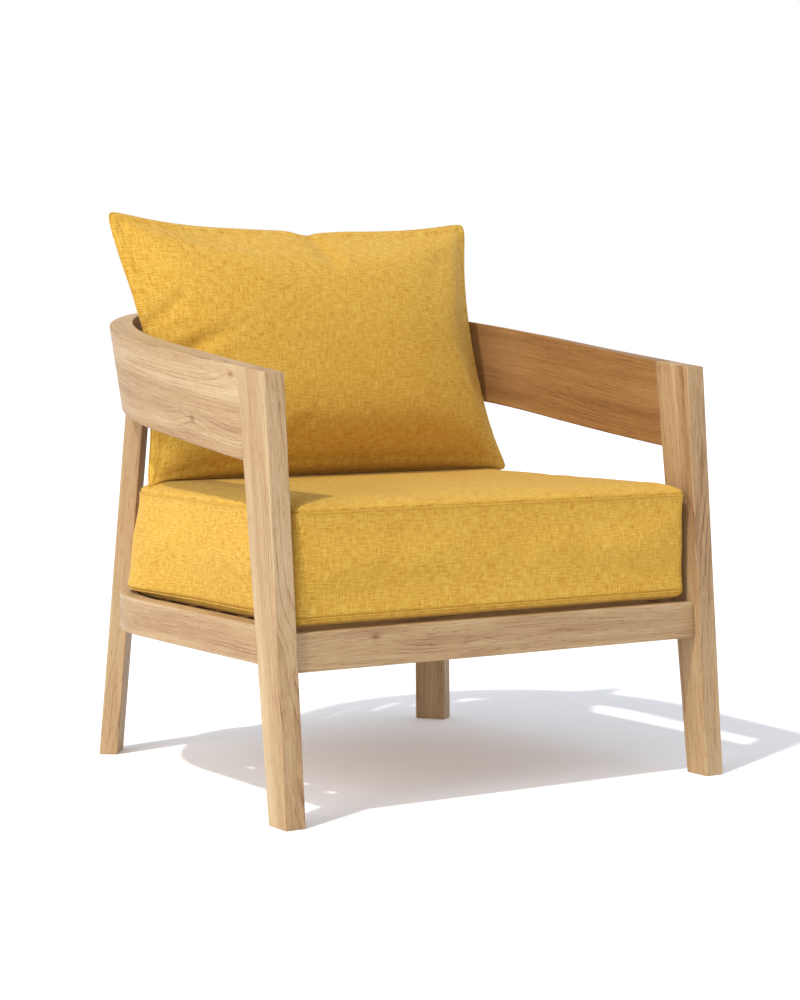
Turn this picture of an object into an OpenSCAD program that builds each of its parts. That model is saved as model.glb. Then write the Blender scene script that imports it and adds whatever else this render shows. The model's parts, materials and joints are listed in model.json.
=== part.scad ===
// Low wooden armchair with one curved arm-and-back band, a slatted seat frame
// and two loose cushions. Front faces -Y, origin on the floor under the middle.

/* [Overall] */
// Width over the outer faces of the arms
chair_w = 770; // [750:5:790]
// Depth from the front feet to the back of the arm band
chair_d = 797; // [790:1:810]
// Height of the front legs at their front edge
arm_h = 620; // [605:5:635]

/* [Front legs] */
// Thickness of a front leg across the chair
leg_t = 32; // [30:1:34]
// Depth of a front leg at the top
leg_top = 76; // [70:1:80]
// Depth of a front leg at the floor
leg_foot = 47; // [42:1:52]
// Distance the leg's front edge moves back from foot to top
leg_rake = 55; // [50:1:60]

/* [Rear legs] */
// Width of a rear leg along the corner of the seat frame
rear_leg_w = 53; // [48:1:56]
// Thickness of a rear leg
rear_leg_t = 29; // [26:1:30]
// Distance of a rear foot's centre from the middle plane
rear_foot_x = 310; // [308:1:314]
// Distance of a rear foot's centre behind the front feet
rear_foot_y = 685; // [683:1:688]
// Inward lean of a rear leg towards the top, in degrees
rear_lean = 5.1; // [4.9:0.1:5.3]

/* [Arm band] */
// Height of the band's section
band_h = 129; // [125:1:132]
// Thickness of the band behind the arms
band_t = 36; // [34:1:37]
// Outward lean of the band at the back, in degrees
band_lean = 8.2; // [7:0.2:9]
// Rise of the band's top edge from the front legs to the back
back_rise = 97; // [85:1:105]
// Share of the rise that comes from its upward curve
rise_bend = 0.23; // [0.1:0.01:0.35]
// Depth of the rounded rear part of the band's outline
curve_d = 400; // [396:1:404]
// Fullness of the rounded rear part, 2 is an ellipse
curve_n = 2.2; // [2.1:0.05:2.3]

/* [Seat frame] */
// Height of the rails
rail_h = 54; // [50:1:56]
// Thickness of the rails
rail_t = 28; // [26:1:30]
// Height of the side rails' top face
side_rail_top = 273; // [271:1:275]
// Height of the front rail's top face
front_rail_top = 263; // [260:1:264]
// Setback of the front rail behind the legs' front edge
rail_recess = 12; // [10:1:14]
// Outer radius of the side rails' bend
bend_r = 300; // [296:1:302]
// Outer radius of the back rail's corners
back_r = 90; // [84:1:94]

/* [Slats] */
// Number of seat slats
seat_slat_n = 8; // [6:1:8]
// Width of a seat slat
seat_slat_w = 60; // [56:1:62]
// Number of back slats
back_slat_n = 5; // [3:1:5]
// Width of a back slat
back_slat_w = 44; // [38:1:46]

/* [Cushions] */
// Width of the seat cushion
seat_w = 690; // [680:2:694]
// Overall thickness of the seat cushion
seat_t = 178; // [170:2:182]
// Height of the back cushion along its lean
pillow_h = 420; // [400:5:425]
// Width of the back cushion between its corners
pillow_w = 666; // [650:2:668]
// Full thickness of the back cushion
pillow_t = 190; // [170:5:195]
// Backward lean of the back cushion, in degrees
pillow_lean = 15.7; // [14:0.1:16]

/* [Hidden] */
$fn = 96;

// Frame of the model: the front feet stand at front_y
front_y = -chair_d / 2;
half_w = chair_w / 2;
leg_in = half_w - leg_t;

// Colours of the materials
WOOD = "#c19a6b";
DARK_WOOD = "#a98357";
STEEL = "#b8bcc0";
FABRIC = "#dcae3c";
FOAM = "#efe9d8";

// Clearance kept between pieces that don't touch
gap = 1;
// Overlap that fuses the stretches of one piece
lap = 0.5;

// ---- front legs -----------------------------------------------------------

// Front and rear edge of a front leg at height z
function leg_front(z) = front_y + leg_rake * z / arm_h;
function leg_rear(z) =
    front_y + leg_foot + (leg_rake + leg_top - leg_foot) * z / arm_h;

// ---- arm band -------------------------------------------------------------

// The band's top edge climbs from the legs to the back
rise_start = leg_front(arm_h);
rise_run = chair_d / 2 - rise_start;
function rise_at(s) = back_rise * ((1 - rise_bend) * s + rise_bend * s * s);
function top_z(y) = arm_h + rise_at((y - rise_start) / rise_run);

// Straight arms end where the rounded rear part begins
round_y = chair_d / 2 - band_h / 2 * sin(band_lean) - curve_d;
band_start = leg_rear(arm_h - band_h / 2);
full_lean_y = round_y + 0.6 * curve_d;

// Lean and thickness grow smoothly from the leg to the rear corner
function ramp(y) =
    let (t = max(0, min(1, (y - band_start) / (full_lean_y - band_start))))
    t * (2 - t);
function lean_at(y) = band_lean * ramp(y);
function thick_at(y) = leg_t + (band_t - leg_t) * ramp(y);

// Outer outline at mid height: point and outward direction for angle a
function outline(a) = [half_w * pow(cos(a), 2 / curve_n),
                       round_y + curve_d * pow(sin(a), 2 / curve_n)];
function outward(a) =
    let (nx = pow(pow(cos(a), 2 / curve_n), curve_n - 1) / half_w,
         ny = pow(pow(sin(a), 2 / curve_n), curve_n - 1) / curve_d,
         len = norm([nx, ny]))
    [nx / len, ny / len];

// Centre of the section, from the outer outline point p and its direction n
function centre(p, n) = let (t = thick_at(p.y) / 2)
    [p.x - n.x * t, p.y - n.y * t, top_z(p.y) - band_h / 2];

// Four corners of a section: outer top, inner top, inner bottom, outer bottom
function ring(c, n, lean, t) =
    let (up = [sin(lean) * n.x, sin(lean) * n.y, cos(lean)] * band_h / 2,
         out = [cos(lean) * n.x, cos(lean) * n.y, -sin(lean)] * t / 2)
    [c + up + out, c + up - out, c - up - out, c - up + out];
function section(p, n) = ring(centre(p, n), n, lean_at(p.y), thick_at(p.y));

// The first section is cut along the rear edge of the leg
function end_corner(x, drop) =
    let (y = leg_rear(top_z(leg_rear(arm_h)) - drop),
         z = top_z(y) - drop)
    [x, leg_rear(z), z];
first_section = [end_corner(half_w, 0), end_corner(leg_in, 0),
                 end_corner(leg_in, band_h), end_corner(half_w, band_h)];

// Angle on the outline where an arm meets the crest behind the cushion
joint_a = 60;
arm_steps = 9;
round_steps = 24;
crest_steps = 12;
arm_gap_y = (round_y - band_start) / arm_steps;
arm_sections = concat(
    [first_section],
    [for (i = [1 : arm_steps - 1]) section([half_w, band_start + i * arm_gap_y], [1, 0])],
    [for (i = [0 : round_steps]) let (a = joint_a * i / round_steps)
        section(outline(a), outward(a))]);

// Outline and direction past the middle are those of the right half, mirrored
function whole_outline(a) = a <= 90 ? outline(a) : let (p = outline(180 - a)) [-p.x, p.y];
function whole_outward(a) = a <= 90 ? outward(a) : let (n = outward(180 - a)) [-n.x, n.y];
crest_sections = [for (i = [-crest_steps : crest_steps])
    let (a = 90 + (90 - joint_a) * i / crest_steps)
    section(whole_outline(a), whole_outward(a))];

// Closed skin over a row of four-cornered sections
module skin(rows) {
    n = len(rows);
    sides = [for (i = [0 : n - 2], k = [0 : 3]) let (m = (k + 1) % 4)
        each [[4 * i + k, 4 * i + m, 4 * i + 4 + m],
              [4 * i + k, 4 * i + 4 + m, 4 * i + 4 + k]]];
    caps = [[0, 2, 1], [0, 3, 2],
            [4 * n - 4, 4 * n - 3, 4 * n - 2], [4 * n - 4, 4 * n - 2, 4 * n - 1]];
    polyhedron(points = [for (r = rows) each r], faces = concat(sides, caps));
}

// ---- dowels and screws ----------------------------------------------------

dowel_d = 10;
dowel_l = 60;
rail_dowel_d = 8;
rail_dowel_l = 50;

module rod(d, l) {
    cylinder(d = d, h = l, center = true);
}

// Wood screw along +Z with its flat head at the origin
module screw(d, l, head_d, head_h) {
    translate([0, 0, -head_h]) cylinder(d = head_d, h = head_h);
    translate([0, 0, -l]) cylinder(d = d, h = l - head_h);
}

// Places of the two dowels from a front leg into the right arm
arm_dowel_drops = [38, 92];
module at_arm_dowels() {
    for (drop = arm_dowel_drops) {
        z = top_z(leg_rear(arm_h)) - drop;
        translate([half_w - leg_t / 2, leg_rear(z), z]) rotate([90, 0, 0]) children();
    }
}

// Places of the two dowels in the joint between the right arm and the crest
crest_dowel_rise = 30;
module at_crest_dowels() {
    p = outline(joint_a);
    n = outward(joint_a);
    for (s = [-1, 1])
        translate(centre(p, n) + crest_dowel_rise * s * [sin(band_lean) * n.x,
                                                        sin(band_lean) * n.y,
                                                        cos(band_lean)])
            rotate([0, 0, atan2(n.y, n.x)]) rotate([90, 0, 0]) children();
}

// ---- rear legs ------------------------------------------------------------

// Direction of the seat frame's rear corner, a 3-4-5 triangle
corner_a = atan2(3, 4);
// Sideways tilt that keeps the leg's top under the band
rear_twist = 1.2;

module at_rear_leg() {
    translate([rear_foot_x, front_y + rear_foot_y, 0])
        rotate([rear_lean, rear_twist, corner_a - 90]) children();
}

rear_leg_blank_l = 566;
module rear_leg_blank() {
    intersection() {
        at_rear_leg()
            translate([-rear_leg_w / 2, -rear_leg_t / 2, -20])
                cube([rear_leg_w, rear_leg_t, rear_leg_blank_l + 20]);
        translate([0, front_y, 0]) cube([half_w, 2 * chair_d, arm_h]);
    }
}

rear_dowel_gap = 26;
module at_rear_leg_dowels() {
    for (s = [-1, 1])
        at_rear_leg() translate([s * rear_dowel_gap / 2, 0, rear_leg_blank_l - 6]) children();
}

// ---- seat frame -----------------------------------------------------------

// The right side rail runs straight, bends by corner_a and runs on straight
bend_x = half_w - bend_r;
bend_y = front_y + 427.5;
diagonal_l = 105;

// A strip along the side rail's path between two distances from its outer face
module along_side(inset, t, z0, h, y0) {
    r = bend_r - inset;
    translate([half_w - inset - t, y0, z0]) cube([t, bend_y - y0, h]);
    translate([bend_x, bend_y, z0]) {
        rotate_extrude(angle = corner_a) translate([r - t, 0]) square([t, h]);
        rotate(corner_a) translate([r - t, 0, 0]) cube([t, diagonal_l, h]);
    }
}

// Frame in which the right back corner is turned
module at_back_corner() {
    translate([bend_x, bend_y, 0]) rotate(corner_a)
        translate([bend_r - back_r, diagonal_l, 0]) children();
}
back_corner_x = bend_x + (bend_r - back_r) * cos(corner_a) - diagonal_l * sin(corner_a);
back_corner_y = bend_y + (bend_r - back_r) * sin(corner_a) + diagonal_l * cos(corner_a);
back_face_y = back_corner_y + back_r;
rail_bottom = side_rail_top - rail_h;

// Tenons of the rails
tenon_t = 12;
tenon_h = 34;
side_tenon_l = 26;
front_tenon_l = 18;
rail_start = leg_rear(side_rail_top);

module side_tenon() {
    z = rail_bottom + rail_h / 2;
    translate([half_w - rail_t / 2 - tenon_t / 2, leg_rear(z) - side_tenon_l, z - tenon_h / 2])
        cube([tenon_t, side_tenon_l + 20, tenon_h]);
}

front_rail_mid = front_rail_top - rail_h / 2;
module front_tenon() {
    translate([leg_in - 5, leg_front(front_rail_mid) + rail_recess + (rail_t - tenon_t) / 2,
               front_rail_mid - tenon_h / 2])
        cube([front_tenon_l + 5, tenon_t, tenon_h]);
}

// The rail's front end follows the slanted rear edge of the leg
module side_rail_blank() {
    difference() {
        along_side(0, rail_t, rail_bottom, rail_h, leg_rear(rail_bottom) - 10);
        translate([leg_in - 5, 0, 0]) rotate([90, 0, 90]) linear_extrude(leg_t + 10)
            polygon([[front_y - 20, rail_bottom - 5], [leg_rear(rail_bottom - 5), rail_bottom - 5],
                     [leg_rear(side_rail_top + 5), side_rail_top + 5],
                     [front_y - 20, side_rail_top + 5]]);
    }
    side_tenon();
}

// Dowels between the side rail's rear end and the back rail
module at_rail_dowels() {
    for (s = [-1, 1])
        translate([bend_x, bend_y, 0]) rotate(corner_a)
            translate([bend_r - rail_t / 2, diagonal_l, rail_bottom + rail_h / 2 + s * 13])
                rotate([90, 0, 0]) children();
}

// Screws from the inside of the side rail into the rear leg
leg_screw_l = 46;
leg_screw_along = 70;
module at_leg_screws() {
    for (s = [-1, 1])
        translate([bend_x, bend_y, 0]) rotate(corner_a)
            translate([bend_r - rail_t, leg_screw_along, rail_bottom + rail_h / 2 + s * 14])
                rotate([0, -90, 0]) children();
}

// ---- seat deck ------------------------------------------------------------

slat_top = 265.5;
seat_slat_t = 16;
cleat_t = 20;
cleat_h = 22;
cleat_top = slat_top - seat_slat_t;
cleat_start = front_y + 90;
slat_first = leg_rear(slat_top) + gap;
slat_last = back_face_y - rail_t - gap - seat_slat_w;
function slat_y(i) = slat_first + (slat_last - slat_first) * i / (seat_slat_n - 1);

// Free outline between the rails, right half, kept gap clear of them
module inside_half(inset) {
    r = bend_r - inset;
    translate([0, front_y]) square([half_w - inset, bend_y - front_y]);
    intersection() {
        translate([bend_x, bend_y]) circle(r, $fn = 180);
        translate([bend_x, bend_y]) square(r);
    }
    translate([0, bend_y]) square([bend_x, back_face_y - inset - bend_y]);
    translate([bend_x, bend_y]) rotate(corner_a)
        translate([0, -0.01]) square([r, diagonal_l + 0.01]);
}

module inside(inset) {
    inside_half(inset);
    mirror([1, 0]) inside_half(inset);
}

// Distance of the inside outline from the middle plane at depth y
function inside_x(y, inset) =
    y < bend_y ? half_w - inset :
    y < bend_y + (bend_r - inset) * sin(corner_a) ?
        bend_x + sqrt(pow(bend_r - inset, 2) - pow(y - bend_y, 2)) :
    bend_x + ((bend_r - inset) - (y - bend_y) * sin(corner_a)) / cos(corner_a);

module seat_slat(i) {
    y = slat_y(i);
    difference() {
        translate([0, 0, cleat_top]) linear_extrude(seat_slat_t)
            intersection() {
                inside(rail_t + gap);
                translate([-half_w, y]) square([chair_w, seat_slat_w]);
            }
        at_slat_screws(i) screw(4.2, 30, 8.2, 3);
    }
}

// One screw at each end of slat i, over the middle of the cleat
module at_slat_screws(i) {
    y = slat_y(i) + seat_slat_w / 2;
    x = inside_x(y, rail_t + cleat_t * 0.5);
    for (s = [-1, 1]) translate([s * x, y, slat_top]) children();
}

cleat_screw_ys = [60, 150, 240];
module at_cleat_screws() {
    for (d = cleat_screw_ys)
        translate([half_w - rail_t - cleat_t, cleat_start + d, cleat_top - cleat_h / 2])
            rotate([0, -90, 0]) children();
}

// ---- back slats -----------------------------------------------------------

back_slat_t = 14;
back_slat_gap = 74;
back_slat_sink = 14;
function back_slat_x(i) = (i - (back_slat_n - 1) / 2) * back_slat_gap;

// Middle of the band's lower edge at distance x from the middle plane
function band_foot(x) =
    let (xo = abs(x) / (half_w - band_t / 2),
         y = round_y + (curve_d - band_t / 2) * pow(1 - pow(xo, curve_n), 1 / curve_n))
    [x, y - band_h / 2 * sin(band_lean), top_z(y) - band_h / 2 - band_h / 2 * cos(band_lean)];

// Slat i from the back rail up into the band, its ends sunk into both
module back_slat(i) {
    foot = [back_slat_x(i), back_face_y - rail_t / 2, side_rail_top];
    head = band_foot(back_slat_x(i));
    run = head.y - foot.y;
    rise = head.z - foot.z;
    tilt = atan2(run, rise);
    translate(foot) rotate([-tilt, 0, 0]) 
        translate([-back_slat_w / 2, -back_slat_t / 2, -back_slat_sink])
            cube([back_slat_w, back_slat_t, norm([run, rise]) + 2 * back_slat_sink]);
}

// ---- cushions -------------------------------------------------------------

seat_bottom = 266;
seat_front = front_y + 42;
seat_ease = 9;
cover_t = 2.5;
side_corner_r = 100;
side_corner_y = front_y + 502;
rear_corner_r = 90;
seat_rear = back_face_y - 41;

// Right half of the seat cushion's plan: it follows the bent seat frame
module seat_half(inset) {
    side_x = seat_w / 2 - side_corner_r;
    reach = side_x * cos(corner_a) + side_corner_y * sin(corner_a) + side_corner_r;
    rear_y = seat_rear - rear_corner_r;
    rear_x = (reach - rear_corner_r - rear_y * sin(corner_a)) / cos(corner_a);
    translate([0, seat_front + inset])
        square([seat_w / 2 - inset, side_corner_y - seat_front - inset]);
    translate([side_x, side_corner_y]) circle(side_corner_r - inset);
    translate([rear_x, rear_y]) circle(rear_corner_r - inset);
    translate([0, rear_y]) square([rear_x, rear_corner_r - inset]);
    translate([0, side_corner_y]) square([side_x, rear_y - side_corner_y]);
    polygon([[0, side_corner_y], [side_x, side_corner_y],
             [side_x + (side_corner_r - inset) * cos(corner_a),
              side_corner_y + (side_corner_r - inset) * sin(corner_a)],
             [rear_x + (rear_corner_r - inset) * cos(corner_a),
              rear_y + (rear_corner_r - inset) * sin(corner_a)],
             [rear_x, rear_y], [0, rear_y]]);
}

module seat_plan(inset) {
    seat_half(inset);
    mirror([1, 0]) seat_half(inset);
}

// The cushion's edges are eased in one step at the top and the bottom
module seat_block(inset) {
    h = seat_t - 2 * inset;
    translate([0, 0, seat_bottom + inset]) {
        linear_extrude(h) seat_plan(inset + seat_ease);
        translate([0, 0, seat_ease]) linear_extrude(h - 2 * seat_ease) seat_plan(inset);
    }
}

// Lens between two arcs: chord l, middle thickness t
module lens(l, t) {
    r = (l * l / 4 + t * t / 4) / t;
    intersection() {
        translate([0, r - t / 2]) circle(r, $fn = 180);
        translate([0, t / 2 - r]) circle(r, $fn = 180);
    }
}

pillow_waist = 612;
pillow_mid_y = front_y + 563.5;
pillow_mid_z = 446.5 + pillow_h / 2 * cos(pillow_lean);
waist_r = (pow(pillow_h / 2, 2) + pow((pillow_w - pillow_waist) / 2, 2))
          / (pillow_w - pillow_waist);

// Pillow with thin edges, its sides drawn in between the corners
module pillow(inset) {
    w = pillow_w - 2 * inset;
    h = pillow_h - 2 * inset;
    t = pillow_t - 2 * inset;
    translate([0, pillow_mid_y, pillow_mid_z]) rotate([-pillow_lean, 0, 0])
        difference() {
            intersection() {
                rotate([90, 0, 90]) linear_extrude(w, center = true)
                    rotate(90) lens(h, t);
                linear_extrude(h, center = true) lens(w, t);
            }
            for (s = [-1, 1])
                translate([s * (pillow_waist / 2 - inset + waist_r), 0, 0])
                    rotate([90, 0, 0]) cylinder(r = waist_r, h = pillow_t * 2, center = true, $fn = 180);
        }
}

// ---- sub-parts ------------------------------------------------------------

module front_leg_right() {
    color(WOOD) difference() {
        translate([leg_in, 0, 0]) rotate([90, 0, 90]) linear_extrude(leg_t)
            polygon([[leg_front(0), 0], [leg_rear(0), 0],
                     [leg_rear(top_z(leg_rear(arm_h))), top_z(leg_rear(arm_h))],
                     [leg_front(arm_h), arm_h]]);
        at_arm_dowels() rod(dowel_d, dowel_l);
        side_tenon();
        front_tenon();
    }
}

module arm_right() {
    color(WOOD) difference() {
        skin(arm_sections);
        at_arm_dowels() rod(dowel_d, dowel_l);
        at_crest_dowels() rod(dowel_d, dowel_l);
        at_rear_leg_dowels() rod(dowel_d, dowel_l);
    }
}

module rear_leg_right() {
    color(WOOD) difference() {
        rear_leg_blank();
        skin(arm_sections);
        side_rail_blank();
        at_rear_leg_dowels() rod(dowel_d, dowel_l);
        at_leg_screws() screw(5, leg_screw_l, 11, 3);
    }
}

module side_rail_right() {
    color(WOOD) difference() {
        side_rail_blank();
        at_rail_dowels() rod(rail_dowel_d, rail_dowel_l);
        at_leg_screws() screw(5, leg_screw_l, 11, 3);
        at_cleat_screws() screw(4, 36, 8, 3);
    }
}

module seat_cleat_right() {
    color(DARK_WOOD) difference() {
        along_side(rail_t, cleat_t, cleat_top - cleat_h, cleat_h, cleat_start);
        at_cleat_screws() screw(4, 36, 8, 3);
        for (i = [0 : seat_slat_n - 1]) at_slat_screws(i) screw(4.2, 30, 8.2, 3);
    }
}

module front_leg_left() { mirror([1, 0, 0]) front_leg_right(); }
module arm_left() { mirror([1, 0, 0]) arm_right(); }
module rear_leg_left() { mirror([1, 0, 0]) rear_leg_right(); }
module side_rail_left() { mirror([1, 0, 0]) side_rail_right(); }
module seat_cleat_left() { mirror([1, 0, 0]) seat_cleat_right(); }

module back_crest() {
    color(WOOD) difference() {
        skin(crest_sections);
        for (s = [0, 1]) mirror([s, 0, 0]) at_crest_dowels() rod(dowel_d, dowel_l);
        for (i = [0 : back_slat_n - 1]) back_slat(i);
    }
}

module front_rail() {
    z0 = front_rail_top - rail_h;
    y0 = leg_front(z0) + rail_recess;
    y1 = leg_front(front_rail_top) + rail_recess;
    color(WOOD) {
        translate([-leg_in, 0, 0]) rotate([90, 0, 90]) linear_extrude(2 * leg_in)
            polygon([[y0, z0], [y0 + rail_t, z0], [y1 + rail_t, front_rail_top],
                     [y1, front_rail_top]]);
        for (s = [0, 1]) mirror([s, 0, 0]) front_tenon();
    }
}

module back_rail() {
    color(WOOD) difference() {
        union() {
            translate([-back_corner_x - lap, back_face_y - rail_t, rail_bottom])
                cube([2 * (back_corner_x + lap), rail_t, rail_h]);
            for (s = [0, 1]) mirror([s, 0, 0]) at_back_corner()
                rotate_extrude(angle = 90 - corner_a)
                    translate([back_r - rail_t, rail_bottom]) square([rail_t, rail_h]);
        }
        for (s = [0, 1]) mirror([s, 0, 0]) at_rail_dowels() rod(rail_dowel_d, rail_dowel_l);
        for (i = [0 : back_slat_n - 1]) back_slat(i);
    }
}

module arm_dowels() {
    color(DARK_WOOD) for (s = [0, 1]) mirror([s, 0, 0]) at_arm_dowels() rod(dowel_d, dowel_l);
}

module crest_dowels() {
    color(DARK_WOOD) for (s = [0, 1]) mirror([s, 0, 0]) at_crest_dowels() rod(dowel_d, dowel_l);
}

module rear_leg_dowels() {
    color(DARK_WOOD) for (s = [0, 1]) mirror([s, 0, 0])
        at_rear_leg_dowels() rod(dowel_d, dowel_l);
}

module rail_dowels() {
    color(DARK_WOOD) for (s = [0, 1]) mirror([s, 0, 0])
        at_rail_dowels() rod(rail_dowel_d, rail_dowel_l);
}

module rear_leg_screws() {
    color(STEEL) for (s = [0, 1]) mirror([s, 0, 0])
        at_leg_screws() screw(5, leg_screw_l, 11, 3);
}

module cleat_screws() {
    color(STEEL) for (s = [0, 1]) mirror([s, 0, 0]) at_cleat_screws() screw(4, 36, 8, 3);
}

module slat_screws() {
    color(STEEL) for (i = [0 : seat_slat_n - 1]) at_slat_screws(i) screw(4.2, 30, 8.2, 3);
}

module seat_cushion_cover() {
    color(FABRIC) difference() {
        seat_block(0);
        seat_block(cover_t);
    }
}

module seat_cushion_foam() {
    color(FOAM) seat_block(cover_t);
}

module back_cushion_cover() {
    color(FABRIC) difference() {
        pillow(0);
        pillow(cover_t);
    }
}

module back_cushion_filling() {
    color(FOAM) pillow(cover_t);
}

front_leg_left();
front_leg_right();
rear_leg_left();
rear_leg_right();
arm_left();
arm_right();
back_crest();
front_rail();
side_rail_left();
side_rail_right();
back_rail();
seat_cleat_left();
seat_cleat_right();
color(WOOD) seat_slat(0);  // seat_slat_1
color(WOOD) seat_slat(1);  // seat_slat_2
color(WOOD) seat_slat(2);  // seat_slat_3
color(WOOD) seat_slat(3);  // seat_slat_4
color(WOOD) seat_slat(4);  // seat_slat_5
color(WOOD) seat_slat(5);  // seat_slat_6
color(WOOD) seat_slat(6);  // seat_slat_7
color(WOOD) seat_slat(7);  // seat_slat_8
color(WOOD) back_slat(0);  // back_slat_1
color(WOOD) back_slat(1);  // back_slat_2
color(WOOD) back_slat(2);  // back_slat_3
color(WOOD) back_slat(3);  // back_slat_4
color(WOOD) back_slat(4);  // back_slat_5
arm_dowels();
crest_dowels();
rear_leg_dowels();
rail_dowels();
rear_leg_screws();
cleat_screws();
slat_screws();
seat_cushion_cover();
seat_cushion_foam();
back_cushion_cover();
back_cushion_filling();
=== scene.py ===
"""Looks of a low wooden armchair with a curved arm-and-back band and two loose cushions.

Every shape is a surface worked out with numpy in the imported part's own frame: +Z up, the chair faces -Y,
metres in the meshes and millimetres in the classes' fields.
"""
from __future__ import annotations

import json
import logging
import math
from dataclasses import dataclass
from enum import Enum

import bpy
import numpy as np
from mathutils import Euler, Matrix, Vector
from numpy.typing import NDArray

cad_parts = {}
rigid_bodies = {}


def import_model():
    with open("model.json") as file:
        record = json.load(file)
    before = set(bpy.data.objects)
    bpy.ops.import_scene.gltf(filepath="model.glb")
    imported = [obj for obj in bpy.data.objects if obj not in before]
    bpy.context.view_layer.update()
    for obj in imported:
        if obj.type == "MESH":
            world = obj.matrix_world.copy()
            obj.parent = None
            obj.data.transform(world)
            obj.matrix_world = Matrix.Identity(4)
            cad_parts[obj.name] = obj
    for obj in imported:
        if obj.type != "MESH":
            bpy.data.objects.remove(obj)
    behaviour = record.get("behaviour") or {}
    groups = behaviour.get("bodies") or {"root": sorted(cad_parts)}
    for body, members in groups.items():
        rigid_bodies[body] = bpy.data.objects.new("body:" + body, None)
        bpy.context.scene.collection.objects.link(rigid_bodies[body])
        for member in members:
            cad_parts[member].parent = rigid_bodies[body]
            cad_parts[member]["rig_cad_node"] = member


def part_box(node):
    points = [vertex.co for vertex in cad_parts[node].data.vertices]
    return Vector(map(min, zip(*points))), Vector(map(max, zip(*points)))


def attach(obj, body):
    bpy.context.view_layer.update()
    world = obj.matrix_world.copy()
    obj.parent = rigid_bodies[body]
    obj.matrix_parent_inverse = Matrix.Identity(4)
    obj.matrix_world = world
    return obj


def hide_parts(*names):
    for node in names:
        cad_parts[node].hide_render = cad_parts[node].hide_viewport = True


Array = NDArray[np.float64]
Indices = NDArray[np.int64]
Socket = bpy.types.NodeSocket
Side = int

MM = 0.001
TINY = 1e-9
LEFT: Side = -1
RIGHT: Side = 1
GRAIN = "grain"
WEAVE = "weave"

log = logging.getLogger("armchair")


# ---------------------------------------------------------------------------
# Colour and nodes
# ---------------------------------------------------------------------------


def linear(hex_colour: str) -> tuple[float, float, float, float]:
    """Turn an sRGB hex colour into linear RGBA.

    Args:
        hex_colour: Six hex digits.

    Returns:
        The colour as linear red, green, blue and an alpha of 1.
    """
    values = [int(hex_colour[i : i + 2], 16) / 255 for i in (0, 2, 4)]
    red, green, blue = (v / 12.92 if v <= 0.04045 else ((v + 0.055) / 1.055) ** 2.4 for v in values)
    return (red, green, blue, 1.0)


class Tree:
    """The node tree of a material or a world, written one node at a time."""

    def __init__(self, owner: bpy.types.Material | bpy.types.World) -> None:
        """Start with an empty tree.

        Args:
            owner: The material or world that the nodes belong to.
        """
        owner.use_nodes = True
        self.nodes = owner.node_tree.nodes
        self.links = owner.node_tree.links
        self.nodes.clear()

    def add(self, kind: str, settings: dict | None = None, inputs: dict | None = None) -> bpy.types.Node:
        """Add a node with its settings and links.

        Args:
            kind: The node's type name, without its ShaderNode prefix.
            settings: Attributes of the node.
            inputs: Socket name or number to a value or to another node's output socket.

        Returns:
            The new node.
        """
        node = self.nodes.new("ShaderNode" + kind)
        for key, value in (settings or {}).items():
            setattr(node, key, value)
        for key, value in (inputs or {}).items():
            if isinstance(value, Socket):
                self.links.new(value, node.inputs[key])
            else:
                node.inputs[key].default_value = value
        return node

    def ramp(self, factor: Socket, stops: list[tuple[float, str]]) -> Socket:
        """Add a colour ramp.

        Args:
            factor: The socket that drives it.
            stops: Positions and sRGB hex colours, in order.

        Returns:
            The ramp's colour output.
        """
        node = self.add("ValToRGB", inputs={"Fac": factor})
        elements = node.color_ramp.elements
        while len(elements) < len(stops):
            elements.new(stops[1][0])
        for element, (position, colour) in zip(elements, stops):
            element.position = position
            element.color = linear(colour)
        return node.outputs["Color"]


class GrainSource(Enum):
    """Where a wood material takes the direction of its grain from."""

    BOARD = "the board's own grain attribute"
    ALONG_Y = "object coordinates, along y"


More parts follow.
